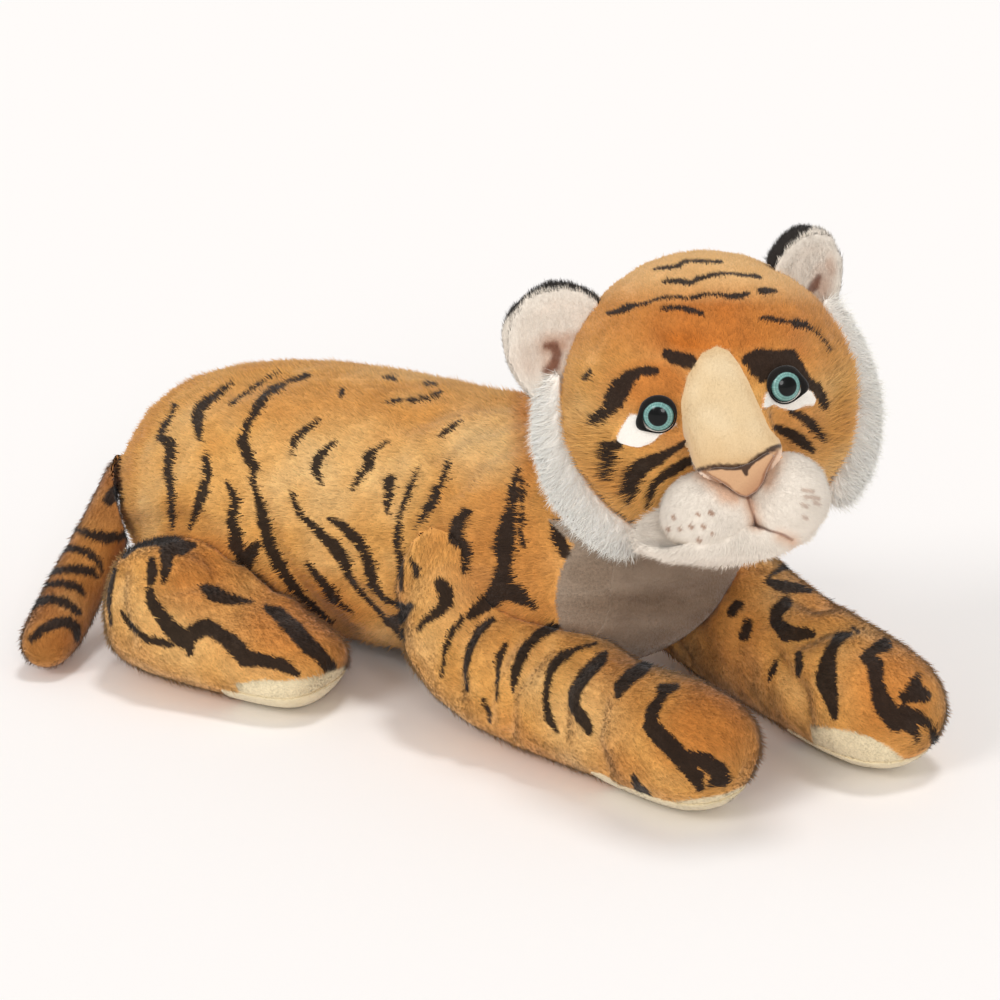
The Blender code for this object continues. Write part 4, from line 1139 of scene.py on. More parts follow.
def cloth_finish(name, roughness, sheen, scale, contrast, bump, colour=None):
    """A pile or cloth: its coat colours, or one colour, with a nap."""
    material = bpy.data.materials.new(name)
    material.use_nodes = True
    nodes, links = material.node_tree.nodes, material.node_tree.links
    shader = nodes["Principled BSDF"]
    nap = nodes.new("ShaderNodeGroup")
    nap.node_tree = NAP
    nap.inputs["Tuft Scale"].default_value = scale
    nap.inputs["Contrast"].default_value = contrast
    if colour is None:
        coat = nodes.new("ShaderNodeAttribute")
        coat.attribute_name = "coat"
        links.new(coat.outputs["Color"], nap.inputs["Colour"])
    else:
        nap.inputs["Colour"].default_value = (*linear(colour), 1)
    links.new(nap.outputs["Colour"], shader.inputs["Base Color"])
    shader.inputs["Roughness"].default_value = roughness
    shader.inputs["Sheen Weight"].default_value = sheen
    shader.inputs["Sheen Roughness"].default_value = 0.5
    shader.inputs["Specular IOR Level"].default_value = 0.2
    if bump:
        relief = nodes.new("ShaderNodeBump")
        relief.inputs["Strength"].default_value = bump
        relief.inputs["Distance"].default_value = 1 * MM
        links.new(nap.outputs["Height"], relief.inputs["Height"])
        links.new(relief.outputs["Normal"], shader.inputs["Normal"])
    return material


HAIR = cloth_finish("pile_hairs", 0.75, 0.08, 400.0, 0.12, 0.0)
BACKING = cloth_finish("pile_backing", 0.9, 0.2, 700.0, 0.5, 0.5)
SHORT_PLUSH = cloth_finish("short_plush", 0.85, 0.35, 900.0, 0.18, 0.35)
FELT = cloth_finish("black_felt", 0.9, 0.2, 1500.0, 0.5, 0.4, "15110F")


def plastic_finish(name, colour, roughness):
    """A moulded plastic with faint flow marks."""
    material = bpy.data.materials.new(name)
    material.use_nodes = True
    nodes, links = material.node_tree.nodes, material.node_tree.links
    shader = nodes["Principled BSDF"]
    place = nodes.new("ShaderNodeTexCoord")
    marks = nodes.new("ShaderNodeTexNoise")
    marks.inputs["Scale"].default_value = 300
    links.new(place.outputs["Object"], marks.inputs["Vector"])
    ramp = nodes.new("ShaderNodeValToRGB")
    ramp.color_ramp.elements[0].color = (*(linear(colour) * 0.9), 1)
    ramp.color_ramp.elements[1].color = (*linear(colour), 1)
    links.new(marks.outputs["Fac"], ramp.inputs["Fac"])
    links.new(ramp.outputs["Color"], shader.inputs["Base Color"])
    shader.inputs["Roughness"].default_value = roughness
    return material


def eye_finish():
    """A printed iris under a clear glossy dome."""
    material = bpy.data.materials.new("printed_iris")
    material.use_nodes = True
    nodes, links = material.node_tree.nodes, material.node_tree.links
    shader = nodes["Principled BSDF"]
    sheet = nodes.new("ShaderNodeUVMap")
    sheet.uv_map = "iris"
    centre = nodes.new("ShaderNodeVectorMath")
    centre.operation = "SUBTRACT"
    centre.inputs[1].default_value = (0.5, 0.5, 0)
    links.new(sheet.outputs["UV"], centre.inputs[0])
    far = nodes.new("ShaderNodeVectorMath")
    far.operation = "LENGTH"
    links.new(centre.outputs[0], far.inputs[0])
    radius = nodes.new("ShaderNodeMath")
    radius.operation = "MULTIPLY"
    radius.inputs[1].default_value = 2
    links.new(far.outputs["Value"], radius.inputs[0])
    way = nodes.new("ShaderNodeVectorMath")
    way.operation = "NORMALIZE"
    links.new(centre.outputs[0], way.inputs[0])
    fibres = nodes.new("ShaderNodeTexNoise")
    fibres.inputs["Scale"].default_value = 14
    fibres.inputs["Detail"].default_value = 3
    links.new(way.outputs[0], fibres.inputs["Vector"])
    rings = nodes.new("ShaderNodeValToRGB")
    ramp = rings.color_ramp
    stops = (
        (0.0, "030404"),
        (0.55, "030404"),
        (0.58, "2C3A3A"),
        (0.60, "567C79"),
        (0.64, "86B3AD"),
        (0.69, "7BA9A3"),
        (0.75, "6E9C97"),
        (0.80, "97C3BC"),
        (0.85, "7AA8A3"),
        (0.90, "55817D"),
        (0.93, "263B39"),
        (0.96, "080909"),
    )
    ramp.elements[0].position, ramp.elements[0].color = stops[0][0], (*linear(stops[0][1]), 1)
    ramp.elements[1].position, ramp.elements[1].color = stops[-1][0], (*linear(stops[-1][1]), 1)
    for position, text in stops[1:-1]:
        ramp.elements.new(position).color = (*linear(text), 1)
    links.new(radius.outputs[0], rings.inputs["Fac"])
    shade = nodes.new("ShaderNodeMapRange")
    shade.inputs["From Min"].default_value = 0.35
    shade.inputs["From Max"].default_value = 0.65
    shade.inputs["To Min"].default_value = 0.62
    shade.inputs["To Max"].default_value = 1.12
    links.new(fibres.outputs["Fac"], shade.inputs["Value"])
    tint = nodes.new("ShaderNodeVectorMath")
    tint.operation = "SCALE"
    links.new(rings.outputs["Color"], tint.inputs[0])
    links.new(shade.outputs["Result"], tint.inputs["Scale"])
    links.new(tint.outputs[0], shader.inputs["Base Color"])
    shader.inputs["Roughness"].default_value = 0.3
    shader.inputs["Specular IOR Level"].default_value = 0.1
    shader.inputs["Coat Weight"].default_value = 0.6
    shader.inputs["Coat IOR"].default_value = 1.35
    shader.inputs["Coat Roughness"].default_value = 0.02
    return material


def give(piece, material):
    piece.data.materials.clear()
    piece.data.materials.append(material)
    return piece


def dress(skin, body, nodes, material, coat):
    """A cover's skin gets its colour and its finish, and the nodes that it stands for are hidden."""
    paint(skin, coat)
    give(skin, material)
    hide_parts(*nodes)
    return skin


# Camera
sight = bpy.data.cameras.new("photo_camera")
camera = bpy.data.objects.new("photo_camera", sight)
SCENE.collection.objects.link(camera)
sight.sensor_width = SENSOR_WIDTH
sight.lens = FOCAL_PIXELS / PHOTO_PIXELS * SENSOR_WIDTH
sight.clip_end = 100
camera.location = CAMERA_PLACE
camera.rotation_mode = "QUATERNION"
camera.rotation_quaternion = Vector(-CAMERA_BACK).to_track_quat("-Z", "Y")
SCENE.camera = camera

TAIL_SLIM_FROM, TAIL_SLIM_OVER = -85 * MM, 50 * MM

# Covers, drawn in to leave room for the pile
FLANK_FOLDS = (
    ((247, 560, 0), (268, 598, 0), (300, 628, 0), (330, 645, 0)),
    ((262, 505, 0), (280, 560, 0), (310, 600, 0), (350, 635, 0)),
    ((355, 590, 0), (385, 625, 0), (405, 640, 0)),
    ((140, 525, 0), (170, 518, 0), (200, 522, 0)),
    ((515, 400, 0), (460, 405, 0), (405, 425, 0)),
    ((522, 418, 0), (470, 432, 0), (430, 455, 0)),
    ((520, 440, 0), (480, 460, 0), (455, 490, 0)),
    ((240, 392, 0), (262, 382, 0), (300, 376, 0)),
)
BIB_FOLDS = (
    ((576, 572, 0), (592, 588, 0), (615, 600, 0), (645, 604, 0), (690, 600, 0), (730, 588, 0)),
    ((592, 572, 0), (612, 581, 0), (640, 587, 0), (668, 593, 0), (700, 588, 0), (725, 580, 0)),
)
HIND_FOLDS = (
    ((188, 545, 0), (202, 552, 0), (214, 562, 0), (218, 576, 0)),
    ((165, 590, 0), (188, 583, 0), (218, 580, 0)),
    ((122, 570, 0), (118, 600, 0), (128, 640, 0)),
)
FORELEG_FOLDS = (
    ((478, 618, 0), (456, 650, 0), (455, 695, 0)),
    ((512, 640, 0), (487, 680, 0), (487, 720, 0)),
    ((545, 648, 0), (508, 690, 0), (506, 735, 0)),
    ((585, 660, 0), (560, 690, 0), (560, 730, 0)),
    ((600, 700, 0), (592, 740, 0), (604, 775, 0)),
)
FAR_FOLDS = (
    ((795, 596, 0), (815, 605, 0), (838, 600, 0)),
    ((800, 640, 0), (825, 628, 0), (850, 625, 0)),
    ((770, 650, 0), (800, 690, 0), (805, 725, 0)),
)

torso = rounded(
    cut_from("torso_skin", "torso_cover", "torso_stuffing", "belly_panel", "neck_stuffing"), 5 * MM, 6, 2.5 * MM
)
stuffed(torso, 3 * MM)
creased(torso, FLANK_FOLDS, 5 * MM, 9)
creased(torso, BIB_FOLDS, 2.5 * MM, 5)
divided(torso)

legs = {}
for leg in ("front_leg_right", "front_leg_left", "hind_leg_right", "hind_leg_left"):
    skin = rounded(cut_from(f"{leg}_skin", f"{leg}_cover", f"{leg}_stuffing", f"{leg}_sole"), 4.5 * MM, 5, 2.5 * MM)
    stuffed(skin, 3 * MM)
    eased_into(skin, torso, 42 * MM, 45 * MM, 80 * MM)
    if leg == "front_leg_right":
        creased(skin, FORELEG_FOLDS, 4.5 * MM, 8)
    if leg == "front_leg_left":
        creased(skin, FAR_FOLDS, 4.5 * MM, 8)
    if leg.startswith("hind"):
        flattened(skin)
    if leg == "hind_leg_right":
        creased(skin, HIND_FOLDS, 4 * MM, 7)
    divided(skin)
    legs[leg] = skin

tail = rounded(cut_from("tail_skin", "tail_cover", "tail_stuffing"), 4 * MM, 5, 1.5 * MM)
stuffed(tail, 2 * MM)
slim = np.clip((TAIL_SLIM_FROM - corners(tail)[:, 0]) / TAIL_SLIM_OVER, 0, 1)
put(tail, corners(tail) - normals_of(tail) * (slim * 4 * MM)[:, None])
head = rounded(cut_from("head_skin", "head_cover", "head_stuffing", "nose_bridge"), 4 * MM, 6, 2.5 * MM)
stuffed(head, 2 * MM)
divided(head)

belly = panel_of("belly_cloth", torso, "belly_panel", ["torso_cover", "neck_stuffing"], 0.7 * MM, 0.25 * MM)
soles = {
    leg: panel_of(f"{leg}_sole_cloth", skin, f"{leg}_sole", [f"{leg}_cover"], 1.2 * MM, 0.6 * MM)
    for leg, skin in legs.items()
}

NOSE_TOP = (
    ((700, 470, 1.2), (712, 467.5, 2), (722, 467, 2), (735, 468, 2), (741, 467, 2.2), (746, 467, 3.2), (752, 462, 2.2),
     (760, 456.5, 2), (768, 451.5, 2), (777, 447.5, 1.5)),
    ((745, 468, 3), (746, 474, 1.5)),
)
NOSE_RIM = (
    ((704, 471, 0.6), (712, 477, 0.7), (720, 481, 0.9), (726, 485, 2), (733, 491, 1), (740, 495.5, 1), (747, 497.5, 1.4),
     (753, 494, 0.9), (760, 487, 0.8), (764, 479, 1.2), (766, 472, 1.6), (770, 463, 0.7), (776, 453, 0.6)),
)
MOUTH_LINES = (
    ((748, 498, 1), (750, 506, 0.4), (753, 515, 0.3), (756, 525, 0.8), (760, 527.5, 1.3), (768, 530, 0.4)),
    ((768, 530, 0.4), (778, 533, 0.6), (785, 536, 1.2), (792, 540, 0.8)),
)
# Creases where brown shade is painted: along the nose's sides, the mouth cleft and the mouth corner.
SNOUT_SHADE_LINES = (
    ((700, 474, 0), (718, 486, 2), (726, 494, 4), (735, 498, 2)),
    ((779, 450, 1), (773, 466, 2), (768, 482, 2)),
    ((748, 500, 1), (756, 525, 0)),
    ((780, 536, 0), (793, 542, 1)),
)
WHISKER_DOTS = tuple(
    ((x, y, 1.3), (x + run, y + 1.5, 1.1))
    for x, y, run in (
        (697, 514, 2), (710, 513, 3), (673, 517, 1), (668, 529, 1), (679, 529, 1), (690, 526, 2), (703, 526, 1.5),
        (698, 540, 3), (712, 534, 1), (804, 490, 9), (806, 497, 13), (803, 505, 4), (804, 517, 3), (815, 503, 5),
    )
)


def snout_coat(points, normals, jitter, ragged):
    """Cream bridge with painted shade at its edges, tan nose with dark lines, white pads with painted brown shade round
    the nose and the mouth.
    """
    colour = np.tile(linear(PAD), (len(points), 1)) * (1 + 0.03 * jitter)[:, None]
    pixels = pixel_of(points)
    facing = np.clip(normals @ CAMERA_BACK * 4 + 0.5, 0, 1)
    # Painted shade, brown, soft round the nose's sides, the mouth cleft and the mouth corner.
    soft = 0.6 * drift(points, 2.5 * MM, 12)
    glow = beside(pixels, SNOUT_SHADE_LINES) + 2 * soft
    colour = mixed(colour, SNOUT_SHADE, facing * 0.6 * np.clip(1 - glow / 13, 0, 1) ** 1.6)
    colour = mixed(colour, BROWN, facing * 0.7 * np.clip(0.9 - beside(pixels, MOUTH_LINES) / 1.6, 0, 1))
    dots = beside(pixels, WHISKER_DOTS) + soft + 0.5 * jitter
    strong = facing * np.where(pixels[:, 0] > 780, 0.45, 0.75)
    colour = mixed(colour, WHISKER, strong * np.clip(0.9 - dots / 1.8, 0, 1))
    bridge = np.tile(linear(BRIDGE), (len(points), 1)) * (1 + 0.04 * jitter)[:, None]
    bridge = mixed(bridge, BRIDGE_LOW, 0.6 * np.clip((pixels[:, 1] - 425) / 50, 0, 1))
    bridge = mixed(bridge, BRIDGE_PALE, 0.5 * np.clip(drift(points, 14 * MM, 13), 0, 1))
    # Painted shade: darker towards the bridge's edges.
    bridge = mixed(bridge, BRIDGE_EDGE_SHADE, 0.4 * np.clip(1 - inwards(pixels, BRIDGE_OUTLINE) / 9, 0, 1))
    within = np.clip(inwards(pixels, BRIDGE_OUTLINE) + 2.8, 0, 1)[:, None]
    colour = colour + (bridge - colour) * within
    nose = np.tile(linear(NOSE), (len(points), 1)) * (1 + 0.03 * jitter)[:, None]
    nose = mixed(nose, NOSE_DEEP, np.clip((pixels[:, 0] + pixels[:, 1] - 1225) / 35, 0, 0.85))
    within = np.clip(inwards(pixels, NOSE_OUTLINE) + 0.5, 0, 1)[:, None] * facing[:, None]
    colour = colour + (nose - colour) * within
    colour = mixed(colour, NOSE_LINE, facing * 0.6 * np.clip(1 - (beside(pixels, NOSE_RIM) + soft) / 1.5, 0, 1))
    return mixed(colour, LINE_DARK, facing * 0.95 * np.clip(1 - (beside(pixels, NOSE_TOP) + soft) / 1.3, 0, 1))


# Painted shade in the ear linings: patches low in each hollow, and lines along its fold.
LINING_SHADE_PATCHES = (
    (553, 347, 17, 13, 0.9), (552, 365, 13, 10, 0.9), (575, 338, 18, 7, 0.6), (532, 360, 20, 16, 0.35),
    (822, 284, 10, 17, 0.7), (830, 268, 6, 12, 0.6),
)
LINING_SHADE_LINES = (
    ((546, 346, 1), (554, 346, 3), (557, 354, 3), (554, 366, 3), (546, 371, 2)),
    ((806, 297, 1), (814, 286, 3), (819, 277, 1)),
)
EAR_RIMS = (
    ((500, 320, 2), (504, 310, 6), (511, 300, 7), (520, 292, 6), (532, 286, 5), (545, 283, 4.5), (560, 283, 4),
     (572, 285, 3.5), (582, 289, 3), (592, 297, 3), (602, 307, 3), (604, 318, 1.5)),
    ((768, 277, 11), (775, 260, 11), (783, 245, 11), (792, 233, 10), (803, 224, 6), (812, 221, 2)),
)


def ear_coat(points, normals, jitter, ragged, lining=True):
    """White in front with a black rim along the top, and black behind; the lining has painted shade, brown, low in its
    hollow and along its fold.
    """
    colour = np.tile(linear(PAD), (len(points), 1)) * (1 + 0.03 * jitter)[:, None]
    pixels = pixel_of(points)
    lower = (pixels[:, 0] < 700) & (pixels[:, 1] > 325)
    front = normals @ CAMERA_BACK > np.where(lower, -0.85, -0.5)
    if lining:
        # Painted shade, brown, low in the hollow and along its fold.
        hollow_shade = patches(pixels, LINING_SHADE_PATCHES) * (0.8 + 0.35 * drift(points, 7 * MM, 6))
        colour = mixed(colour, EAR_HOLLOW_SHADE, hollow_shade * 0.8)
        colour = mixed(colour, EAR_FOLD_SHADE, 0.8 * np.clip(1 - beside(pixels, LINING_SHADE_LINES) / 4, 0, 1))
        return colour
    black = np.clip(2.4 - beside(pixels, EAR_RIMS) * 0.8 + 0.4 * jitter, 0, 1)
    return mixed(colour, EAR_BLACK, 0.98 * np.where(front, black, 1.0))


def ear_back_coat(points, normals, jitter, ragged):
    """Black pile behind the ear, and white where it turns to the front."""
    return ear_coat(points, normals, jitter, ragged, lining=False)


white_coat = plain_coat(WHITE, 0.04)
sole_coat = plain_coat(SOLE, 0.03)


def bib_coat(points, normals, jitter, ragged):
    """The bib's greyish pile, with painted shade in patches under the chin and in its folds."""
    colour = np.tile(linear(BIB), (len(points), 1)) * (1 + 0.03 * jitter)[:, None]
    # Painted shade in patches, under the chin and in the folds.
    return mixed(colour, BIB_SHADE, patches(pixel_of(points), BIB_SHADOWS))


dress(torso, "torso", ["torso_cover", "torso_stuffing", "neck_stuffing"], BACKING, body_coat)
dress(belly, "torso", ["belly_panel"], SHORT_PLUSH, bib_coat)
dress(tail, "tail", ["tail_cover", "tail_stuffing"], BACKING, tail_coat)
dress(head, "head", ["head_cover", "head_stuffing"], BACKING, head_coat)
LEG_COATS = {
    "front_leg_right": leg_coat(SIDE_STRIPES, NEAR_SOLE),
    "front_leg_left": far_leg_coat,
    "hind_leg_right": leg_coat(HIND_STRIPES, HIND_SOLE),
    "hind_leg_left": leg_coat(HIND_STRIPES, HIND_SOLE, far=True),
}
for leg, skin in legs.items():
    dress(skin, leg, [f"{leg}_cover", f"{leg}_stuffing"], BACKING, LEG_COATS[leg])
    dress(soles[leg], leg, [f"{leg}_sole"], SHORT_PLUSH, sole_coat)

# Face pieces
face = {}
for name, nodes, voxel, smooth, inset, levels in (
    ("ruff_skin_right", ["ruff_right"], 4, 5, 1.5, 0),
    ("ruff_skin_left", ["ruff_left"], 4, 5, 1.5, 0),
    ("muzzle_skin_right", ["muzzle_right"], 2.5, 4, 0.3, 1),
    ("muzzle_skin_left", ["muzzle_left"], 2.5, 4, 0.3, 1),
    ("chin_skin", ["chin"], 2.5, 4, 0.3, 1),
    ("nose_skin", ["nose"], 1.5, 4, 0.0, 1),
    ("ear_back_skin_right", ["ear_back_right"], 2.5, 3, 1.0, 0),
    ("ear_back_skin_left", ["ear_back_left"], 2.5, 3, 1.0, 0),
    ("ear_lining_skin_right", ["ear_lining_right"], 1.5, 2, -0.4, 0),
    ("ear_lining_skin_left", ["ear_lining_left"], 1.5, 2, -0.4, 0),
):
    face[name] = rounded(cut_from(name, *nodes), voxel * MM, smooth, inset * MM, levels)
face["bridge_skin"] = outline_panel("bridge_skin", head, SNOUT_OUTLINE, 2.2 * MM, 2.0 * MM)
face["eye_white_skin_right"] = outline_panel("eye_white_skin_right", head, NEAR_WHITE, 1.6 * MM, 1.4 * MM)
face["eye_white_skin_left"] = outline_panel("eye_white_skin_left", head, FAR_WHITE, 1.6 * MM, 1.4 * MM)
resized(face["muzzle_skin_right"], (0.97, 1, 0.82), (5, 0, 0.5))
resized(face["muzzle_skin_left"], (0.87, 1, 0.88), (-3, 0, -1.5))
resized(face["chin_skin"], (1.33, 1.1, 1.1), (0, -2.5, 7.5), (1, 0, 0))
slanted(face["chin_skin"], 0.11)
resized(face["nose_skin"], (1.25, 1, 1.35), (0, -1.2, 3))
trimmed(face["nose_skin"], NOSE_OUTLINE)
rounded(face["nose_skin"], 1.2 * MM, 3, 0.0, 1)
resized(face["ruff_skin_right"], (0.9, 1, 1), (0, 0, 0), (1, 0, 0))
resized(face["ruff_skin_left"], (0.82, 1, 1), (0, 0, 0), (-1, 0, 0))
for kind in ("back", "lining"):
    resized(face[f"ear_{kind}_skin_right"], (1.24, 1.05, 1.22), (-5, 0, 2), (-1, 0, 1))
    resized(face[f"ear_{kind}_skin_left"], (1.2, 1.05, 1.1), (-6, 0, 3), (1, 0, 1))
for side in ("right", "left"):
    resized(face[f"ear_lining_skin_{side}"], (1.15, 1.0, 1.15), (0, -1.5, 0))
for side in ("right", "left"):
    dress(face[f"ruff_skin_{side}"], "head", [f"ruff_{side}"], BACKING, white_coat)
    dress(face[f"muzzle_skin_{side}"], "head", [f"muzzle_{side}"], SHORT_PLUSH, snout_coat)
    dress(face[f"eye_white_skin_{side}"], "head", [f"eye_white_{side}"], SHORT_PLUSH, white_coat)
    dress(face[f"ear_back_skin_{side}"], "ear", [f"ear_back_{side}"], BACKING, ear_back_coat)
    dress(face[f"ear_lining_skin_{side}"], "ear", [f"ear_lining_{side}"], SHORT_PLUSH, ear_coat)
dress(face["chin_skin"], "head", ["chin"], SHORT_PLUSH, snout_coat)
dress(face["bridge_skin"], "head", ["nose_bridge"], SHORT_PLUSH, snout_coat)
dress(face["nose_skin"], "head", ["nose"], SHORT_PLUSH, snout_coat)

# Eyes
IRIS = eye_finish()
for side, sign in (("right", -1), ("left", 1)):
    place = HEAD_FRAME @ Matrix.Translation((sign * EYE_PLACE.x, EYE_PLACE.y, EYE_PLACE.z))
    place = place @ Euler((0, 0, sign * EYE_SPLAY)).to_matrix().to_4x4()
    place = place @ Euler((math.radians(90), 0, 0)).to_matrix().to_4x4()
    deselect()
    bpy.ops.mesh.primitive_uv_sphere_add(segments=64, ring_count=32, radius=EYE_SHOWN)
    dome = bpy.context.object
    dome.name = f"eye_dome_clear_{side}"
    edit_all(dome)
    bpy.ops.mesh.bisect(plane_co=(0, 0, 0), plane_no=(0, 0, 1), clear_inner=True, use_fill=True)
    leave_edit()
    points = corners(dome)
    points[:, 2] *= EYE_DOME_HEIGHT / EYE_SHOWN
    put(dome, points)
    flat = points[:, :2] / EYE_SHOWN / 2 + 0.5
    rows = np.empty(len(dome.data.loops), np.int64)
    dome.data.loops.foreach_get("vertex_index", rows)
    while dome.data.uv_layers:
        dome.data.uv_layers.remove(dome.data.uv_layers[0])
    sheet = dome.data.uv_layers.new(name="iris")
    sheet.data.foreach_set("uv", flat[rows].ravel())
    dome.data.transform(place)
    take(dome)
    bpy.ops.object.shade_smooth_by_angle(angle=math.radians(40))
    give(dome, IRIS)
    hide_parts(f"eye_dome_{side}", f"eye_disc_{side}")
    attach(dome, "head")

    # Lid: a felt roll, thick over the eye and thin at its corners
    deselect()
    bpy.ops.mesh.primitive_torus_add(
        major_segments=72, minor_segments=16, major_radius=LID_RADIUS, minor_radius=LID_ROLL
    )
    lid = bpy.context.object
    lid.name = f"eye_lid_felt_{side}"
    points = corners(lid)
    angles = np.arctan2(points[:, 1], points[:, 0])
    middle = LID_RADIUS * np.stack([np.cos(angles), np.sin(angles), 0 * angles], 1)
    top = np.clip(np.sin(angles), 0, 1)
    tip_at = math.radians(200) if side == "right" else math.radians(-20)
    apart = np.angle(np.exp(1j * (angles - tip_at)))
    tip = np.exp(-((apart / LID_TIP_REACH) ** 2))
    thick = LID_THIN + (1 - LID_THIN) * np.clip(np.sin(angles) * 1.1 + 0.15 + 0.8 * tip, 0, 1) + 0.35 * tip
    points = middle * (1 - 0.06 * top + 0.2 * tip)[:, None] + (points - middle) * thick[:, None]
    points[:, 2] += LID_LIFT
    put(lid, points)
    lid.data.transform(place)
    take(lid)
    bpy.ops.object.shade_smooth()
    give(lid, FELT)
    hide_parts(f"eye_lid_{side}")
    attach(lid, "head")
    give(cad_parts[f"eye_washer_{side}"], plastic_finish(f"washer_plastic_{side}", "D8D6CE", 0.5))

# Pile
neighbours = {"torso": Neighbour(torso), "head": Neighbour(head), "tail": Neighbour(tail)}
neighbours.update({leg: Neighbour(skin) for leg, skin in legs.items()})
neighbours.update({name: Neighbour(piece) for name, piece in face.items()})


def trees_of(*names):
    return [neighbours[name] for name in names]


def node_tree(node):
    return BVHTree.FromPolygons(*node_shape(node))


def apart_from(tree, own):
    """Weights that keep the pile off a neighbouring panel."""

    def weight(points, normals):
        keep = np.ones(len(points))
        for i, point in enumerate(points):
            spot = Vector(point)
            if tree.find_nearest(spot)[3] < own.find_nearest(spot)[3]:
                keep[i] = 0
        return keep

    return weight


def near_face(roots):
    """The pile is short round the eyes and the nose, and longer on the cheeks."""
    local = (roots - np.array(HEAD_CENTRE)) @ HEAD_AXES
    far = np.minimum(
        np.linalg.norm(local - np.array((41.5, -93, 13)) * MM, axis=1),
        np.linalg.norm(local - np.array((-41.5, -93, 13)) * MM, axis=1),
    )
    share = np.clip(0.35 + (far - 14 * MM) / (40 * MM), 0.35, 1.15)
    pixels = pixel_of(roots)
    for outline in (SNOUT_OUTLINE, NEAR_WHITE, FAR_WHITE):
        share = np.where(inwards(pixels, outline) > -3, 0.32, share)
    cheek = np.clip((np.abs(local[:, 0]) - 52 * MM) / (20 * MM), 0, 1)
    cheek *= np.clip((30 * MM - local[:, 2]) / (30 * MM), 0, 1)
    crown = np.clip((local[:, 2] - 35 * MM) / (20 * MM), 0, 1) * (local[:, 1] < 30 * MM)
    return share * (1 + 0.7 * cheek - 0.4 * crown)


def on_bridge(points, normals):
    """The bridge has pile in front, above the nose only."""
    pixels = pixel_of(points)
    clear = (inwards(pixels, BRIDGE_OUTLINE) > 1) & (beside(pixels, NOSE_TOP) > 1.5)
    return np.where(clear & (normals @ CAMERA_BACK > 0.1), 1.0, 0.0)


def near_nose(roots):
    """The pads' pile is shorter round the nose and the mouth."""
    pixels = pixel_of(roots)
    gap = np.minimum(-inwards(pixels, NOSE_OUTLINE), beside(pixels, MOUTH_LINES))
    return np.clip(0.3 + gap / 22, 0.3, 1)


def near_bib(roots):
    """The bib's pile is shorter than the body's."""
    inside = (inwards(pixel_of(roots), BIB_OUTLINE) > 0) & (roots[:, 1] < -0.2)
    return np.where(inside, 0.35, 1.0)


def near_sole(roots):
    """A sole's pile is shorter than the leg's."""
    pixels = pixel_of(roots)
    inside = np.zeros(len(roots), bool)
    for outline in (NEAR_SOLE, FAR_SOLE, HIND_SOLE):
        inside |= inwards(pixels, outline) > 0
    return np.where(inside, 0.35, 1.0)


piles = []


def grow(body, hairs):
    for piece in hairs:
        give(piece, HAIR)
        piles.append((piece, body))


grow("torso", pile(
    "torso_pile", torso, body_coat, lie_body, 0.33, 7.5 * MM, 1.2 * MM, 24, 21,
    trees_of(*legs, "head", "tail"), apart_from(node_tree("belly_panel"), node_tree("torso_cover")),
    shorter=near_bib, ragged=0.8))
grow("torso", pile(
    "bib_pile", belly, bib_coat, lie_body, 0.5, 2.6 * MM, 1.1 * MM, 22, 22,
    trees_of("front_leg_right", "front_leg_left", "head", "torso"),
    lambda points, normals: np.where(points[:, 2] > 15 * MM, 1.0, 0.2), ragged=0, shade=0.9))
for number, (leg, skin) in enumerate(legs.items()):
    front = leg.startswith("front")
    grow(leg, pile(
        f"{leg}_pile", skin, LEG_COATS[leg], lie_front_leg if front else lie_hind_leg, 0.38, 7 * MM, 1.15 * MM, 24,
        30 + number, trees_of("torso"), apart_from(node_tree(f"{leg}_sole"), node_tree(f"{leg}_cover")),
        shorter=near_sole, ragged=0.8))
grow("tail", pile(
    "tail_pile", tail, tail_coat, lie_tail, 0.45, 6.5 * MM, 1.05 * MM, 22, 40, trees_of("torso"), ragged=0.6))
grow("head", pile(
    "head_pile", head, head_coat, lie_head, 0.56, 6.5 * MM, 0.95 * MM, 22, 50,
    trees_of(*(name for name in face if "ruff" not in name), "torso"), shorter=near_face, ragged=0.45,
    cover=0.5 * MM, under=trees_of("ruff_skin_right", "ruff_skin_left")))
for number, side in enumerate(("right", "left")):
    other = "left" if side == "right" else "right"
    grow("head", pile(
        f"ruff_pile_{side}", face[f"ruff_skin_{side}"], white_coat, lie_ruff, 0.85, 12 * MM, 0.75 * MM, 6,
        60 + number, trees_of("head", "torso", "chin_skin"), vary=0.3, spread=0.38, ragged=0, shade=0.97,
        cover=0.3 * MM, fuller=1.2))
    grow("head", pile(
        f"muzzle_pile_{side}", face[f"muzzle_skin_{side}"], snout_coat, lie_head, 1.1, 4.5 * MM, 0.6 * MM, 24,
        62 + number, trees_of("head", "nose_skin", "bridge_skin", f"muzzle_skin_{other}", "chin_skin"), ragged=0.5,
        shade=0.97, cover=0.5 * MM, shorter=near_nose))
    grow(f"ear_{side}", pile(
        f"ear_back_pile_{side}", face[f"ear_back_skin_{side}"], ear_back_coat, lie_ear, 0.8, 4.5 * MM, 0.7 * MM, 28,
        64 + number, trees_of("head", f"ear_lining_skin_{side}"), ragged=0, shade=0.9))
    grow(f"ear_{side}", pile(
        f"ear_lining_pile_{side}", face[f"ear_lining_skin_{side}"], ear_coat, lie_ear, 1.0, 5 * MM, 0.6 * MM, 16,
        66 + number, trees_of("head", f"ear_back_skin_{side}"), ragged=0, shade=0.96, cover=0.5 * MM))
    grow("head", pile(
        f"eye_white_pile_{side}", face[f"eye_white_skin_{side}"], white_coat, lie_head, 1.0, 1.6 * MM, 0.5 * MM, 18,
        68 + number, (), lambda points, normals: np.where(normals @ CAMERA_BACK > 0.3, 1.0, 0.0), ragged=0, shade=0.97))
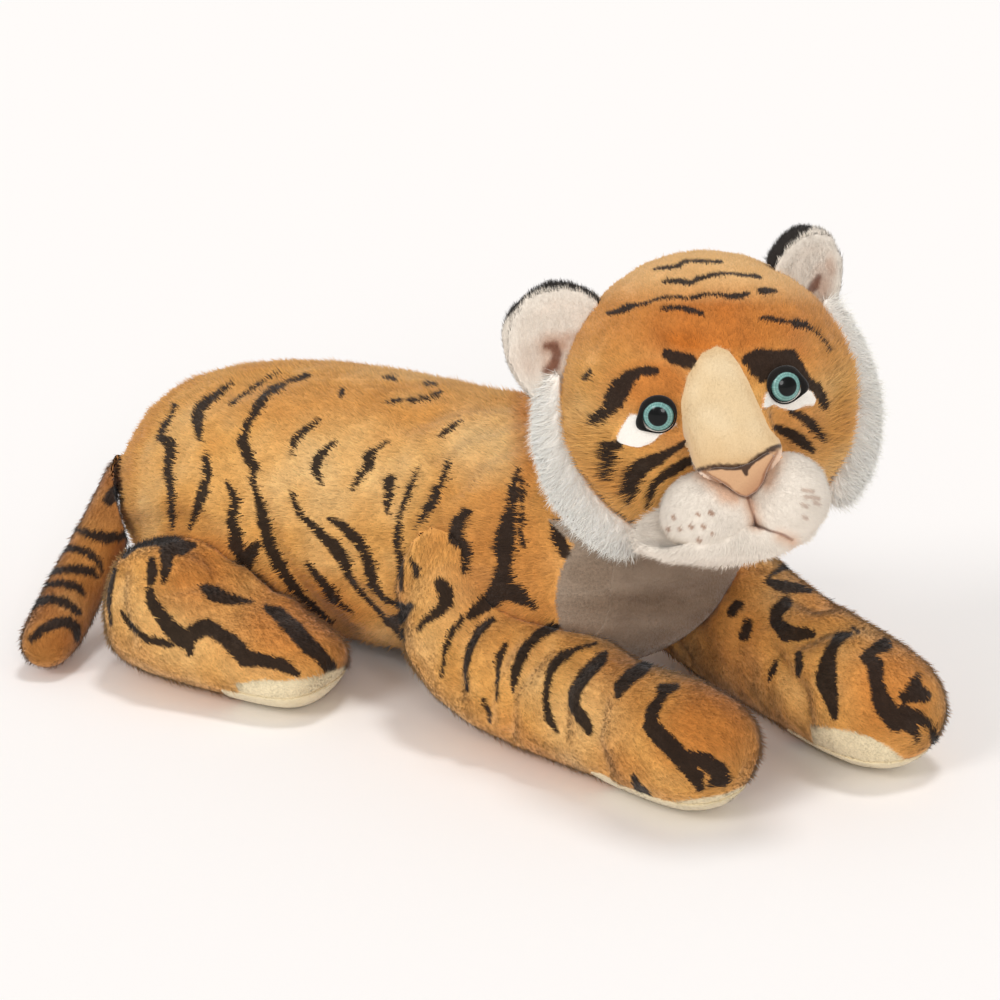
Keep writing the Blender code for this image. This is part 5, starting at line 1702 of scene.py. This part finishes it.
grow("head", pile(
    "chin_pile", face["chin_skin"], snout_coat, lie_head, 0.9, 7 * MM, 0.7 * MM, 22, 70,
    trees_of("head", "muzzle_skin_right", "muzzle_skin_left"), ragged=0.5, shade=0.97, cover=0.3 * MM,
    shorter=near_nose))
grow("head", pile(
    "bridge_pile", face["bridge_skin"], snout_coat, lie_bridge, 1.2, 2.2 * MM, 0.5 * MM, 18, 71,
    trees_of("muzzle_skin_right", "muzzle_skin_left", "nose_skin"), on_bridge, ragged=0, shade=0.95,
    cover=0.5 * MM))
for number, leg in enumerate(legs):
    grow(leg, pile(
        f"{leg}_sole_pile", soles[leg], sole_coat, lie_front_leg, 0.5, 2.4 * MM, 0.7 * MM, 18, 80 + number, trees_of(leg),
        lambda points, normals: np.where(points[:, 2] > 3 * MM, 1.0, 0.0), ragged=0, shade=0.92))

# What moves with what
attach(torso, "torso")
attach(belly, "torso")
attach(head, "head")
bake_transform(tail)
for leg, skin in legs.items():
    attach(skin, leg)
    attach(soles[leg], leg)
for name, piece in face.items():
    side = "right" if name.endswith("right") else "left"
    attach(piece, f"ear_{side}" if name.startswith("ear") else "head")
for piece, body in piles:
    if body == "tail":
        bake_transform(piece)
    else:
        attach(piece, body)

# Floor and light
PAPER = "FDFAF8"
deselect()
bpy.ops.mesh.primitive_plane_add(size=40)
floor = bpy.context.object
floor.name = "floor"
paper = bpy.data.materials.new("paper")
paper.use_nodes = True
shader = paper.node_tree.nodes["Principled BSDF"]
shader.inputs["Base Color"].default_value = (*linear(PAPER), 1)
shader.inputs["Roughness"].default_value = 1.0
shader.inputs["Specular IOR Level"].default_value = 0.0
give(floor, paper)

sky = bpy.data.worlds.new("studio")
SCENE.world = sky
sky.use_nodes = True
glow = sky.node_tree.nodes["Background"]
glow.inputs["Color"].default_value = (1.0, 0.99, 0.98, 1)
glow.inputs["Strength"].default_value = 0.5


def lamp(name, azimuth, elevation, strength, softness):
    """A far lamp: azimuth and elevation of where it stands, in degrees, measured as for the camera."""
    light = bpy.data.lights.new(name, "SUN")
    light.energy = strength
    light.angle = math.radians(softness)
    holder = bpy.data.objects.new(name, light)
    SCENE.collection.objects.link(holder)
    a, e = math.radians(azimuth), math.radians(elevation)
    towards = Vector((math.sin(a) * math.cos(e), -math.cos(a) * math.cos(e), math.sin(e)))
    holder.rotation_mode = "QUATERNION"
    holder.rotation_quaternion = (-towards).to_track_quat("-Z", "Y")


lamp("key", 80, 82, 0.85, 12)
lamp("left_fill", -88, 34, 0.8, 20)
lamp("front_fill", -34, 24, 0.85, 20)

SCENE.view_settings.view_transform = "Standard"
